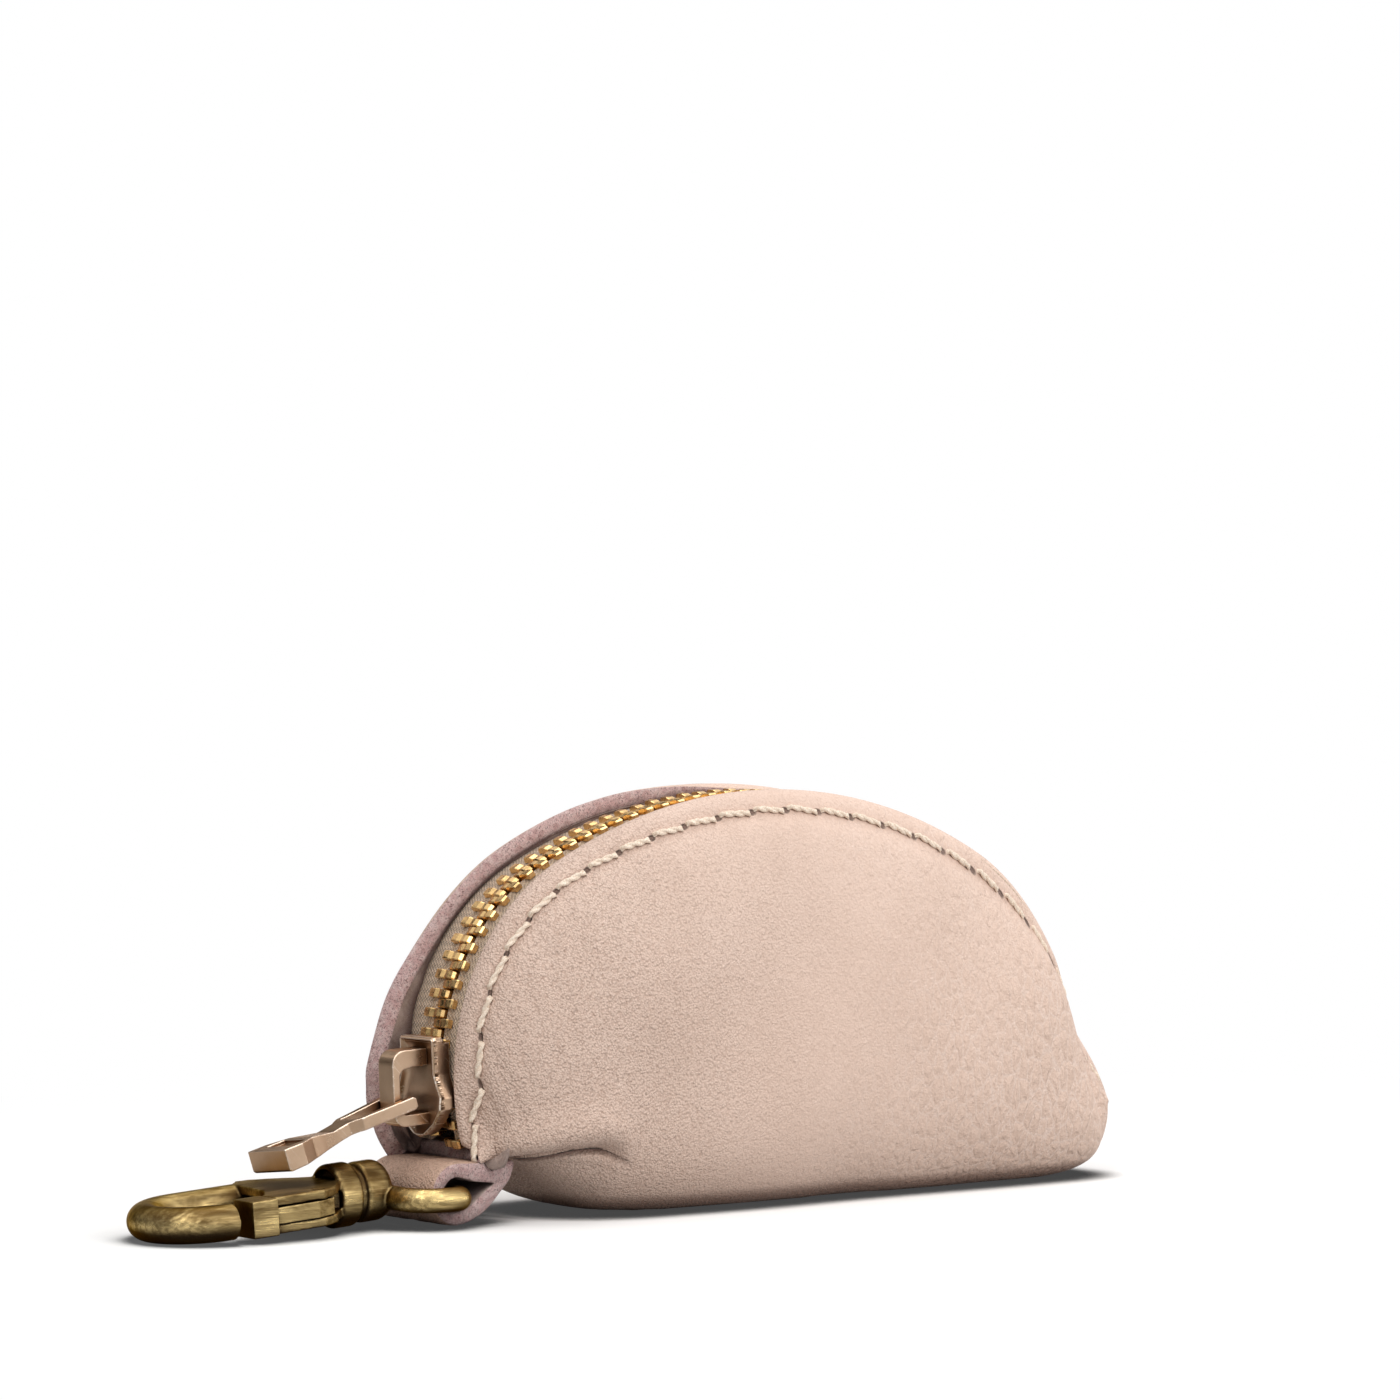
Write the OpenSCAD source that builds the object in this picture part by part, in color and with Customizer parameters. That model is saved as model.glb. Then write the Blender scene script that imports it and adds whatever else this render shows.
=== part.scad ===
// Half-moon zip pouch: one folded leather piece, a metal zip round the arch,
// and a swivel snap hook held in a leather tab at the left corner.
// Millimetres, +Z up. The origin is on the table under the middle of the arch;
// -Y is the front, and the tab and hook lie towards -X.

/* [Pouch] */
// Width of the zip arch
arch_w = 99; // [96:0.5:102]
// Height of the arch above the table
arch_h = 53; // [52:0.5:55]
// Radius of the arch's two shoulders
shoulder_r = 29.7; // [29:0.1:30.5]
// Height of the shoulders' centres
shoulder_z = 18.3; // [17.5:0.1:19]
// Angle that the zip runs on below each shoulder's centre
end_drop = 19; // [17:1:20]
// Half depth of the pouch where it is fullest
half_depth = 16; // [15:0.5:17]
// Leather thickness
leather_t = 1.9; // [1.6:0.1:2.2]
// Height of the back panel's cut edge over the zip line
back_lip = 1; // [0.8:0.1:1.3]
// Height of the front panel's cut edge over the zip line, which it hardly reaches
front_lip = -0.3; // [-0.4:0.1:0]
// Half the gap between the two cut edges
mouth_half = 5.3; // [5.2:0.1:5.8]

/* [Seam] */
// Length of one stitch with its gap
stitch_pitch = 5.5; // [5:0.1:6]
// Thread diameter
thread_d = 0.9; // [0.7:0.1:1]
// Distance of the seam from the cut edge, measured along Y
seam_in = 3.1; // [2.8:0.1:3.6]

/* [Zip] */
// Tooth pitch on one tape
tooth_pitch = 2.54; // [2.5:0.01:2.6]
// Width of the closed chain
chain_w = 5.8; // [5.6:0.1:5.9]
// Tooth height, square to the tape
tooth_h = 2.4; // [2.2:0.1:2.4]
// Tape thickness
tape_t = 0.6; // [0.5:0.05:0.6]
// Angle of the slider on the left shoulder at rest
slider_deg = 183; // [182:1:184]
// Slider length
slider_l = 12.4; // [12:0.1:13]
// Half width of the slider's shoulders
slider_half = 4.95; // [4.9:0.01:5]
// Height of the crown's top over the zip line
crown_h = 6.3; // [6:0.1:6.6]
// Crown width
crown_w = 3.2; // [3:0.1:3.3]

/* [Pull] */
// Length from the crossbar to the far end
pull_l = 19.6; // [18:0.1:20]
// Width of the end block
pull_w = 8.4; // [8:0.1:9]
// Slope of the pull below the level
pull_deg = 18.4; // [17:0.1:20]

/* [Tab] */
// Width of the leather tab
tab_w = 14.8; // [14:0.1:15]
// Outer height of the tab's loop
loop_h = 7.9; // [7.8:0.1:8]
// Far left of the tab's loop
loop_x = -54.1; // [-54.3:0.1:-54]

/* [Hook] */
// Rod diameter of the eye ring
ring_d = 3; // [2.8:0.1:3]
// Barrel diameter
barrel_d = 7.9; // [7.7:0.1:8.1]
// Rod diameter of the hook
rod_d = 4.4; // [4.2:0.1:4.6]
// Half width of the hook between rod centres
hook_half = 6.8; // [6.6:0.1:7]
// Length of the hook from the barrel's back face to its tip
hook_l = 34.4; // [33.9:0.5:34.9]
// Slope of the hook towards its tip
hook_deg = 4.1; // [4.1:0.1:4.4]

/* [Hidden] */
$fn = 48;
DEG = 180 / PI;
EPS = 0.01;

leather_tone = "#c9a893";
brass_tone = "#c9a14a";
antique_tone = "#8a6f3a";
champagne_tone = "#cbb097";

// The arch: a shoulder arc, a flatter top arc and a shoulder arc, all tangent.
shoulder_x = arch_w / 2 - shoulder_r;
rise = arch_h - shoulder_r;
top_z = (shoulder_x^2 + shoulder_z^2 - rise^2) / (2 * (shoulder_z - rise));
top_r = arch_h - top_z;
join_deg = atan2(shoulder_x, shoulder_z - top_z);
shoulder_len = (90 - join_deg + end_drop) / DEG * shoulder_r;
top_len = 2 * join_deg / DEG * top_r;
arch_len = 2 * shoulder_len + top_len;

// Centre x, centre z, radius and polar angle at distance s from the left end
function arc_at(s) =
    s < shoulder_len
    ? [-shoulder_x, shoulder_z, shoulder_r, 180 + end_drop - s / shoulder_r * DEG]
    : s < shoulder_len + top_len
    ? [0, top_z, top_r, 90 + join_deg - (s - shoulder_len) / top_r * DEG]
    : [shoulder_x, shoulder_z, shoulder_r,
       90 - join_deg - (s - shoulder_len - top_len) / shoulder_r * DEG];

// Point on the arch at distance s, n outside the zip line
function arch_point(s, n) =
    let(a = arc_at(s))
    [a[0] + (a[2] + n) * cos(a[3]), 0, a[1] + (a[2] + n) * sin(a[3])];

// Local X points out of the pouch, local Z back along the arch
module at_arch(s, n = 0) {
    a = arc_at(s);
    translate(arch_point(s, n)) rotate([0, -a[3], 0]) children();
}

// ---- leather ---------------------------------------------------------------

fold_flat = 18;
fold_share = 0.32;
fold_sink = 0.8;
left_fold = [[-40, 0], [-37.5, 8.8], [-47.5, 8.9]];
right_fold = [[62, 0], [56.7, 1], [56.3, 11.4]];
widest = 0.64;
base_power = 2.6;
fullness = [14, 40];
end_half = 8;
leather_share = 0.96;
along = 46;
across = 11;

function bezier(p0, c, t) =
    (1 - t)^3 * p0 + 3 * t * (1 - t)^2 * c[0] + 3 * t^2 * (1 - t) * c[1] + t^3 * c[2];

// The fold along the bottom, for u from 0 at the left to 1 at the right
function fold_point(u) =
    let(p = u < fold_share
        ? bezier([-fold_flat, 0], left_fold, (fold_share - u) / fold_share)
        : u > 1 - fold_share
        ? bezier([fold_flat, 0], right_fold, (u - 1 + fold_share) / fold_share)
        : [(u - 0.5) / (0.5 - fold_share) * fold_flat, 0])
    [p[0], 0, p[1] - fold_sink];

// Half depth where the wall is this tall: it fills out slowly on the right side
function depth_at(u, span) =
    max(end_half, half_depth
        * (1 - exp(-span / (fullness[0] + (fullness[1] - fullness[0]) * u))));

function lip_of(side) = side > 0 ? back_lip : front_lip;

// One wall point: u along the arch, v from the cut edge (0) to the fold (1)
function wall_point(u, v, depth_in, side) =
    let(
        edge = arch_point(u * arch_len, lip_of(side) - depth_in),
        fold = fold_point(u),
        span = norm(fold - edge),
        dir = (fold - edge) / span,
        len = span - depth_in,
        deep = depth_at(u, span) - depth_in,
        turn = 180 * v,
        d = turn <= 90
            ? widest * len * (1 - cos(turn))
            : len * (widest + (1 - widest) * pow(max(0, -cos(turn)), 2 / base_power)),
        y = turn <= 90
            ? mouth_half + (deep - mouth_half) * sin(turn)
            : deep * pow(max(0, sin(turn)), 2 / base_power),
        p = edge + dir * d
    )
    [p[0], side * y, depth_in > 0 ? max(depth_in, p[2]) : p[2]];

// A row of points from the front cut edge round the fold to the back one
function wall_row(i, depth_in) =
    let(u = 0.5 + (i / along - 0.5) * leather_share)
    [for (j = [0 : 2 * across])
        wall_point(u, 1 - abs(j - across) / across, depth_in, j < across ? -1 : 1)];

module leather_body() {
    rows = concat([for (i = [0 : along]) wall_row(i, 0)],
                  [for (i = [0 : along]) wall_row(i, leather_t)]);
    w = 2 * across + 1;
    inner = along + 1;
    function id(i, j) = i * w + j;
    function quad(a, b, c, d) = [[a, b, c], [a, c, d]];
    faces = [
        for (i = [0 : along - 1], j = [0 : w - 2])
            each quad(id(i, j), id(i, j + 1), id(i + 1, j + 1), id(i + 1, j)),
        for (i = [0 : along - 1], j = [0 : w - 2])
            each quad(id(inner + i, j), id(inner + i + 1, j),
                      id(inner + i + 1, j + 1), id(inner + i, j + 1)),
        for (i = [0 : along - 1])
            each quad(id(i, 0), id(i + 1, 0), id(inner + i + 1, 0), id(inner + i, 0)),
        for (i = [0 : along - 1])
            each quad(id(i, w - 1), id(inner + i, w - 1),
                      id(inner + i + 1, w - 1), id(i + 1, w - 1)),
        for (j = [0 : w - 2])
            each quad(id(0, j), id(inner, j), id(inner, j + 1), id(0, j + 1)),
        for (j = [0 : w - 2])
            each quad(id(along, j), id(along, j + 1),
                      id(inner + along, j + 1), id(inner + along, j))
    ];
    color(leather_tone) difference() {
        polyhedron([for (r = rows) each r], faces);
        translate([-arch_w, -arch_w, -10]) cube([2 * arch_w, 2 * arch_w, 10]);
    }
}

// The left half of a circle, from its top round to its bottom
function round_left(x, z, r) =
    [for (a = [90 : 10 : 270]) [x + r * cos(a), z + r * sin(a)]];

// Two layers of leather, joined at the root and open round the eye ring
module leather_tab() {
    outer_r = loop_h / 2;
    hole_r = outer_r - leather_t;
    cx = loop_x + outer_r;
    root_x = -41.6;
    color(leather_tone) rotate([90, 0, 0])
        linear_extrude(tab_w, center = true) difference() {
            polygon(concat(round_left(cx, outer_r, outer_r),
                           [[cx + 3.4, 1.1], [root_x - 0.7, 4.4], [root_x, 7.6],
                            [root_x - 4.5, 7.7]]));
            polygon(concat(round_left(cx, outer_r, hole_r),
                           [[cx + 2.6, 3.2], [cx + 3.5, 4.6], [cx + 2.2, 5.2]]));
        }
}

// ---- seam ------------------------------------------------------------------

function seam_v(u, side) =
    let(span = norm(fold_point(u) - arch_point(u * arch_len, lip_of(side))),
        deep = depth_at(u, span))
    asin(min(0.75, seam_in / (deep - mouth_half))) / 180;

function seam_point(s, side) =
    let(u = s / arch_len,
        v = seam_v(u, side),
        p = wall_point(u, v, 0, side),
        q = wall_point(u, v + 0.01, 0, side),
        f = wall_point(u + 0.004, v, 0, side),
        n = cross(f - p, q - p) * side)
    p + n / norm(n) * (thread_d / 2 + 0.1);

module seam(side) {
    count = floor((arch_len - 6) / stitch_pitch);
    first = (arch_len - count * stitch_pitch) / 2;
    for (k = [0 : count - 1]) {
        a = seam_point(first + (k + 0.1) * stitch_pitch, side);
        b = seam_point(first + (k + 0.9) * stitch_pitch, side);
        d = b - a;
        translate(a) rotate([0, acos(d[2] / norm(d)), atan2(d[1], d[0])])
            cylinder(h = norm(d), d = thread_d, $fn = 24);
    }
}

module front_seam_thread() { color("#e6d8bd") seam(-1); }
module back_seam_thread() { color("#e6d8bd") seam(1); }

// ---- zip -------------------------------------------------------------------

tape_n = -1.4;
tape_in = 1.3;
tape_to = 7.2;
tape_end = 5.9;
tape_step = back_lip - front_lip;
step_in = 4.98;
step_out = 5.25;
narrow_z = 24;
tooth_len = 1.08;
tooth_reach = 0.9;
tooth_gap = 0.08;
slider_s = (180 + end_drop - slider_deg) / DEG * shoulder_r;
zip_start = 0.9;
part_start = slider_s;
part_end = slider_s - 3;
part_y = 1.42;

// How far a row stands off its closed place, below the slider's wedge
function parting(s) =
    part_y * min(1, max(0, (part_start - s) / (part_start - part_end)));

// A strip along the arch, between two distances from the middle and two heights
module strip(from_y, to_y, low, high) {
    steps = 90;
    from = 0.9;
    function at(k) = from + (arch_len - 2 * from) * k / steps;
    function flat(p) = [p[0], p[2]];
    translate([0, -from_y, 0]) rotate([90, 0, 0]) linear_extrude(to_y - from_y)
        polygon(concat([for (k = [0 : steps]) flat(arch_point(at(k), high))],
                       [for (k = [steps : -1 : 0]) flat(arch_point(at(k), low))]));
}

// A tape whose outer edge runs inside the leather, and steps down under it by drop.
// It is narrower at both ends, where the leather is.
module half_tape(drop) {
    low = tape_n - tape_t / 2;
    high = tape_n + tape_t / 2;
    difference() {
        union() {
            strip(tape_in, drop > 0 ? step_out : tape_to, low, high);
            if (drop > 0) {
                strip(step_in, step_out, low - drop, high);
                strip(step_in, tape_to, low - drop, high - drop);
            }
        }
        translate([-arch_w, -tape_to - 1, -1])
            cube([2 * arch_w, tape_to + 1 - tape_end, narrow_z + 1]);
        translate([-arch_w, 0, 0]) rotate([90, 0, 90]) linear_extrude(arch_w / 2)
            polygon([[1, -1], [-tape_in - part_y, -1], [-tape_in - part_y, 14.2],
                     [-tape_in - EPS, 17.2], [1, 17.2]]);
    }
}

module front_zip_tape() { color("#d8c3a8") half_tape(tape_step); }
module back_zip_tape() { color("#d8c3a8") mirror([0, 1, 0]) half_tape(0); }

// One tooth: two legs that grip the tape and a head that crosses the middle
module tooth() {
    leg = chain_w / 2;
    difference() {
        union() {
            translate([-tooth_h / 2, -leg, -tooth_len / 2])
                cube([tooth_h, leg - tooth_reach, tooth_len]);
            translate([-tooth_h / 2 + 0.2, -tooth_reach - EPS, -tooth_len / 2])
                cube([tooth_h - 0.4, 2 * tooth_reach + EPS, tooth_len]);
        }
        translate([-tape_t / 2 - tooth_gap, -leg - 1, -tooth_len])
            cube([tape_t + 2 * tooth_gap, leg + 1 - tape_in + tooth_gap, 2 * tooth_len]);
    }
}

module tooth_row(side, shift) {
    count = floor((arch_len - 2 * zip_start - shift) / tooth_pitch);
    for (k = [0 : count]) {
        s = zip_start + shift + k * tooth_pitch;
        at_arch(s, tape_n) translate([0, side * parting(s), 0])
            rotate([side > 0 ? 180 : 0, 0, 0]) tooth();
    }
}

module front_zip_teeth() { color(brass_tone) tooth_row(-1, 0); }
module back_zip_teeth() { color(brass_tone) tooth_row(1, tooth_pitch / 2); }

// ---- slider ----------------------------------------------------------------

plate_t = 1.1;
plate_n = 0.1;
floor_n = -3.5;
flange_t = 0.6;
neck_half = 3.75;
lock_hole = [1.1, 0.9];

module at_slider() { at_arch(slider_s) children(); }

// Outline of a plate: narrow where the closed chain leaves, pointed below
module shield(inset = 0) {
    h = slider_l / 2;
    side = [[-h + inset, 0], [-h + inset, neck_half - inset - 0.4],
            [-h + inset + 0.4, neck_half - inset], [-1.6, neck_half - inset],
            [1.2, slider_half - inset], [2.6, slider_half - inset],
            [4.4, 3.6 - inset], [h - 0.4 - inset, 1.5 - inset / 2], [h - inset, 0]];
    polygon(concat(side, [for (k = [len(side) - 2 : -1 : 1]) [side[k][0], -side[k][1]]]));
}

// Lays a plan drawn along the chain onto the slider's plane
module plan(n, t) {
    translate([n, 0, 0]) rotate([0, -90, 0]) mirror([0, 0, 1])
        linear_extrude(t) children();
}

module slider_body() {
    wedge_from = 3;
    wedge_half = 0.42;
    color(champagne_tone) at_slider() difference() {
        union() {
            plan(plate_n, plate_t) shield();
            plan(floor_n - plate_t, plate_t) shield();
            plan(plate_n + plate_t - EPS, 0.4) difference() { shield(); shield(0.6); }
            plan(-0.75, 0.75 + plate_n + EPS) rails();
            plan(floor_n - EPS, 0.7) rails();
            plan(floor_n - EPS, plate_n - floor_n + 2 * EPS)
                polygon([[wedge_from - 0.4, 0], [wedge_from, wedge_half],
                         [slider_l / 2 - 0.5, wedge_half], [slider_l / 2 - 0.5, -wedge_half],
                         [wedge_from, -wedge_half]]);
        }
        translate([plate_n - 1, -lock_hole[1] / 2, -4.4])
            cube([4, lock_hole[1], lock_hole[0]]);
    }
}

// The side walls that keep the teeth between the plates
module rails() {
    difference() {
        shield();
        shield(flange_t);
        translate([2.5, -10]) square(20);
        translate([-25.5, -10]) square(20);
    }
}

// A strip bent into an arch over the top plate, with room for the crossbar
module slider_crown() {
    foot_n = plate_n + plate_t + 0.02;
    color(champagne_tone) at_slider()
        rotate([90, 0, 0]) linear_extrude(crown_w, center = true) difference() {
            union() {
                translate([foot_n, -4.9]) square([crown_h - foot_n - 1.6, 9.4]);
                translate([crown_h - 1.7, -3.3]) square([1.7, 6.3]);
                translate([crown_h - 1.6, -3.3]) circle(1.6);
                translate([crown_h - 1.6, 2.9]) circle(1.6);
            }
            translate([foot_n + 0.5, -2.5]) square([crown_h - foot_n - 1.55, 5.6]);
            translate([foot_n - 1, -2.5]) square([2, 5.6]);
            translate([foot_n - 1, -4.5]) square([3.2, 1.4]);
        }
}

// The leaf whose pin drops between two teeth when the pull lies down
module slider_lock_spring() {
    color("#9d9d98") at_slider() translate([0, -0.35, 0]) {
        translate([-0.15, 0, -4.1]) cube([3.15, 0.7, 0.5]);
        translate([2.5, 0, -4.1]) cube([0.5, 0.7, 0.9]);
    }
}

// ---- pull ------------------------------------------------------------------

bar_n = 4.6;
bar_down = 1.7;
bar_r = 0.62;
arm_w = 1.1;
arm_gap = 0.3;
rest = arc_at(slider_s);
bar_x = arch_point(slider_s, bar_n)[0] - sin(rest[3]) * bar_down;
bar_z = arch_point(slider_s, bar_n)[2] + cos(rest[3]) * bar_down;

// Drawn along +X from the crossbar, then laid down to the left
module pull_tab() {
    in = crown_w / 2 + arm_gap;
    out = in + arm_w;
    color(champagne_tone)
    translate([bar_x, 0, bar_z]) rotate([0, -pull_deg, 0]) rotate([0, 0, 180])
        difference() {
            union() {
                rotate([90, 0, 0]) cylinder(h = 2 * out, r = bar_r, center = true);
                intersection() {
                    linear_extrude(8, center = true) pull_outline(in, out);
                    rotate([90, 0, 0]) linear_extrude(20, center = true)
                        pull_profile();
                }
            }
            translate([pull_l - 4.4, -pull_w / 2 + 1.6, 0.75])
                cube([2.6, pull_w - 3.2, 2]);
        }
}

module pull_outline(in, out) {
    difference() {
        polygon([[-0.9, -out], [7.3, -out], [8.7, -1.9], [10.2, -1.9], [12.6, -2.3],
                 [14.8, -3], [17, -pull_w / 2], [pull_l, -pull_w / 2], [pull_l, pull_w / 2],
                 [17, pull_w / 2], [14.8, 3], [12.6, 2.3], [10.2, 1.9], [8.7, 1.9],
                 [7.3, out], [-0.9, out]]);
        translate([-2, -in]) square([9.4, 2 * in]);
    }
}

module pull_profile() {
    polygon([[-0.9, -0.55], [-0.5, -0.8], [8, -0.8], [14.5, -1.45], [pull_l - 0.3, -1.45],
             [pull_l, -1.15], [pull_l, 1.45], [14.5, 1.2], [11, 0.5], [8, 0.8],
             [-0.5, 0.8], [-0.9, 0.55]]);
}

// ---- swivel snap hook ------------------------------------------------------

barrel_r = barrel_d / 2;
barrel_x = -56.6;
ring_z = 3.6;
ring_bar_x = loop_x + 3.75;
ring_half = tab_w / 2 + 0.35 + ring_d / 2;
ring_depth = 6.4;
eye_len = 4;
neck_len = 0.7;
neck_r = 3.2;
frame_from = eye_len + neck_len;
barrel_to = 7.9;
rim_r = 1.4;
hook_z = rod_d / 2 + (hook_l - rod_d / 2) * sin(hook_deg);
collar_r = barrel_r - 0.2;
post_r = 1.25;
head_r = 1.8;
head_from = 5.9;
post_to = 6.7;
hollow_r = 3.3;
hollow_d = 0.8;
post_gap = 0.06;
end_from = hook_l - hook_half - rod_d / 2;
gate_from = 11.1;
gate_pin_at = [12.8, 6.2];
gate_pin_r = 0.7;
cheek_t = 1.1;
cheek_to = 19.95;
lip_r = 0.55;

// Drawn along +X with the gate at +Y, then laid towards the left, gate in front
module at_hook() {
    translate([barrel_x, 0, hook_z]) rotate([0, -hook_deg, 0]) rotate([0, 0, 180])
        children();
}

// Half the outline of a collar with its rims rolled over: [radius, length] points
function rolled(from, to, r, near, far) = concat(
    [for (a = [0 : 15 : 90]) [r - near * (1 - sin(a)), from + near * (1 - cos(a))]],
    [for (a = [90 : -15 : 0]) [r - far * (1 - sin(a)), to - far * (1 - cos(a))]]);

// Turns a half outline about the hook's long axis
module turned(outline) {
    rotate([0, 90, 0]) rotate_extrude() polygon(outline);
}

// The ring lies flat: a straight bar through the tab with a tight bend at each end,
// and a straight back with wider bends that the collar sits on
module swivel_eye() {
    tight = 1.85;
    wide = 3.2;
    back_x = ring_bar_x - ring_depth;
    color(antique_tone) {
        translate([0, 0, ring_z]) {
            ring_bar(ring_bar_x, ring_half - tight);
            ring_bar(back_x, ring_half - wide);
            for (side = [-1, 1]) {
                translate([back_x + wide, side * ring_half, 0]) rotate([0, 90, 0])
                    cylinder(h = ring_depth - wide - tight, d = ring_d);
                ring_bend(ring_bar_x - tight, side * (ring_half - tight), tight,
                          side > 0 ? 0 : 270);
                ring_bend(back_x + wide, side * (ring_half - wide), wide,
                          side > 0 ? 90 : 180);
            }
        }
        at_hook() turned(concat(
            [[0, 0]], rolled(0, eye_len, collar_r, rim_r, lip_r),
            [[neck_r, eye_len], [neck_r, frame_from - 0.12], [post_r, frame_from - 0.12],
             [post_r, head_from], [head_r, head_from], [head_r, post_to], [0, post_to]]));
    }
}

module ring_bar(x, half) {
    translate([x, 0, 0]) rotate([90, 0, 0])
        cylinder(h = 2 * half, d = ring_d, center = true);
}

// A quarter bend of the ring, turned so that it starts at this angle
module ring_bend(x, y, r, from) {
    translate([x, y, 0]) rotate([0, 0, from])
        rotate_extrude(angle = 90) translate([r, 0]) circle(d = ring_d);
}

module hook_frame() {
    color(antique_tone) at_hook() difference() {
        union() {
            turned(concat([[0, frame_from]], rolled(frame_from, barrel_to, barrel_r, lip_r, lip_r),
                          [[hollow_r, barrel_to], [hollow_r, barrel_to - hollow_d],
                           [0, barrel_to - hollow_d]]));
            shoulder_block();
            translate([end_from, -hook_half, 0]) rotate([0, -90, 0])
                cylinder(h = end_from - 13, d = rod_d);
            translate([end_from, 0, 0]) rotate([0, 0, -90])
                rotate_extrude(angle = 180) translate([hook_half, 0]) circle(d = rod_d);
            for (c = [-1, 1]) translate([0, 0, c * (rod_d / 2 - cheek_t / 2)]) cheek();
        }
        translate([frame_from - 1, 0, 0]) rotate([0, 90, 0])
            cylinder(h = head_from - frame_from + 1.1, r = post_r + post_gap);
        translate([head_from - 0.1, 0, 0]) rotate([0, 90, 0])
            cylinder(h = post_to - head_from + 0.2, r = head_r + post_gap);
        translate([gate_pin_at[0], gate_pin_at[1], 0])
            cylinder(h = 10, r = gate_pin_r, center = true);
    }
}

// Joins the barrel to the spine on the far side
module shoulder_block() {
    linear_extrude(rod_d, center = true)
        polygon([[6.8, -3], [8.6, -4.2], [11, -6.6], [13.6, -hook_half - rod_d / 2 + 0.5],
                 [15.4, -hook_half - rod_d / 2 + 0.2], [16.2, -hook_half + 1.5],
                 [13.4, -2.6], [12.2, 2.6], [9, 3], [6.8, 3]]);
}

// The plates above and below the gate, cut back where its end block swings in
module cheek() {
    linear_extrude(cheek_t, center = true)
        polygon([[6.8, -2.9], [13, -6], [16, -hook_half - 1.4], [17, -hook_half + 1], [17.2, -2],
                 [17.6, 1.5], [18.4, 3], [19.2, 4.3], [cheek_to, 4.9],
                 [cheek_to, 8], [13, 7.9], [10.4, 6.4], [8.2, 3.6], [6.8, 2.9]]);
}

module hook_gate() {
    leaf = rod_d / 2 - cheek_t - 0.1;
    block_from = cheek_to + 0.25;
    block_l = 3.5;
    color(antique_tone) at_hook() difference() {
        union() {
            linear_extrude(2 * leaf, center = true)
                polygon([[gate_from, 4.9], [14, 4.6], [block_from + 0.5, 4.9],
                         [block_from + 0.5, 8.3], [14, 8.2], [gate_from, 7]]);
            translate([block_from, 4.6, -rod_d / 2]) cube([block_l, 4.4, rod_d]);
        }
        translate([gate_pin_at[0], gate_pin_at[1], 0])
            cylinder(h = 10, r = gate_pin_r + 0.06, center = true);
        translate([gate_pin_at[0], gate_pin_at[1], 0.1]) cylinder(h = 2, r = 1.25);
    }
}

module gate_pin() {
    color(antique_tone) at_hook() translate([gate_pin_at[0], gate_pin_at[1], 0])
        cylinder(h = rod_d, r = gate_pin_r, center = true);
}

// Two turns wound on the pin, inside the gate's knuckle
module gate_spring() {
    color("#8f8f8a") at_hook() translate([gate_pin_at[0], gate_pin_at[1], 0])
        for (turn = [0, 1]) translate([0, 0, 0.35 + turn * 0.35])
            rotate_extrude() translate([0.98, 0]) circle(d = 0.3, $fn = 24);
}

leather_body();
leather_tab();
front_seam_thread();
back_seam_thread();
front_zip_tape();
back_zip_tape();
front_zip_teeth();
back_zip_teeth();
slider_body();
slider_crown();
slider_lock_spring();
pull_tab();
swivel_eye();
hook_frame();
hook_gate();
gate_pin();
gate_spring();
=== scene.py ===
import math
import bmesh
import bpy
import numpy as np
from mathutils import Matrix, Vector


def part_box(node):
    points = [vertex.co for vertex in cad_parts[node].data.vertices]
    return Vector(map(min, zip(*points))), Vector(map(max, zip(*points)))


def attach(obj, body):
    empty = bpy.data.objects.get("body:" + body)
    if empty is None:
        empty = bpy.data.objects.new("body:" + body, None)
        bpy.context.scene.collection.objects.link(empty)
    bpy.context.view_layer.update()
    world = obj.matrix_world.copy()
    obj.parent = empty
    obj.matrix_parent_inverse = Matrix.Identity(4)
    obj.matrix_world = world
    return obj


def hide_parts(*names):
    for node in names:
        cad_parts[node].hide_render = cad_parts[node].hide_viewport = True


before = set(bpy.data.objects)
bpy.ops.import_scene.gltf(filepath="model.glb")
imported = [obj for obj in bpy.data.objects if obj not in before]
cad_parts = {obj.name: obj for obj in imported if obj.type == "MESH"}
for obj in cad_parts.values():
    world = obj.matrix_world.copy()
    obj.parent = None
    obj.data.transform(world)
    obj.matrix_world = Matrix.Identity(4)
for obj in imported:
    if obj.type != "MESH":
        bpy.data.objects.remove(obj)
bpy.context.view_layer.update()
scene = bpy.context.scene
MM = 0.001
rng = np.random.default_rng(7)


# ---- sizes, in millimetres, as the part has them

TAB_LOW, TAB_HIGH = [np.array(c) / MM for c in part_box("leather_tab")]
BAR_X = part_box("pull_tab")[1][0] / MM  # the bar that the pull hangs on
BACK_LIP, FRONT_LIP = 1.0, -0.3  # each cut edge, out of the zip line
ARCH_W = 99.0
ARCH_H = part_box("leather_body")[1][2] / MM - BACK_LIP
SHOULDER_R, SHOULDER_Z = 29.7, 18.3  # the arcs at both ends of the arch
END_DROP = 19.0  # degrees that they go on below level
HALF_DEPTH = 16.0
LEATHER_T = 1.9
MOUTH_HALF = 5.3  # from the zip's middle to a cut edge
SEAM_IN = 3.1  # from a cut edge to its seam
STITCH_PITCH = 5.5
SEAM_ENDS = 6.0  # zip length that has no stitches
TOOTH_PITCH = 2.54
TAPE_N = -1.4  # the tape's middle, out of the zip line
SLIDER_DEG = 183.0  # the slider's place on its arc

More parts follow.
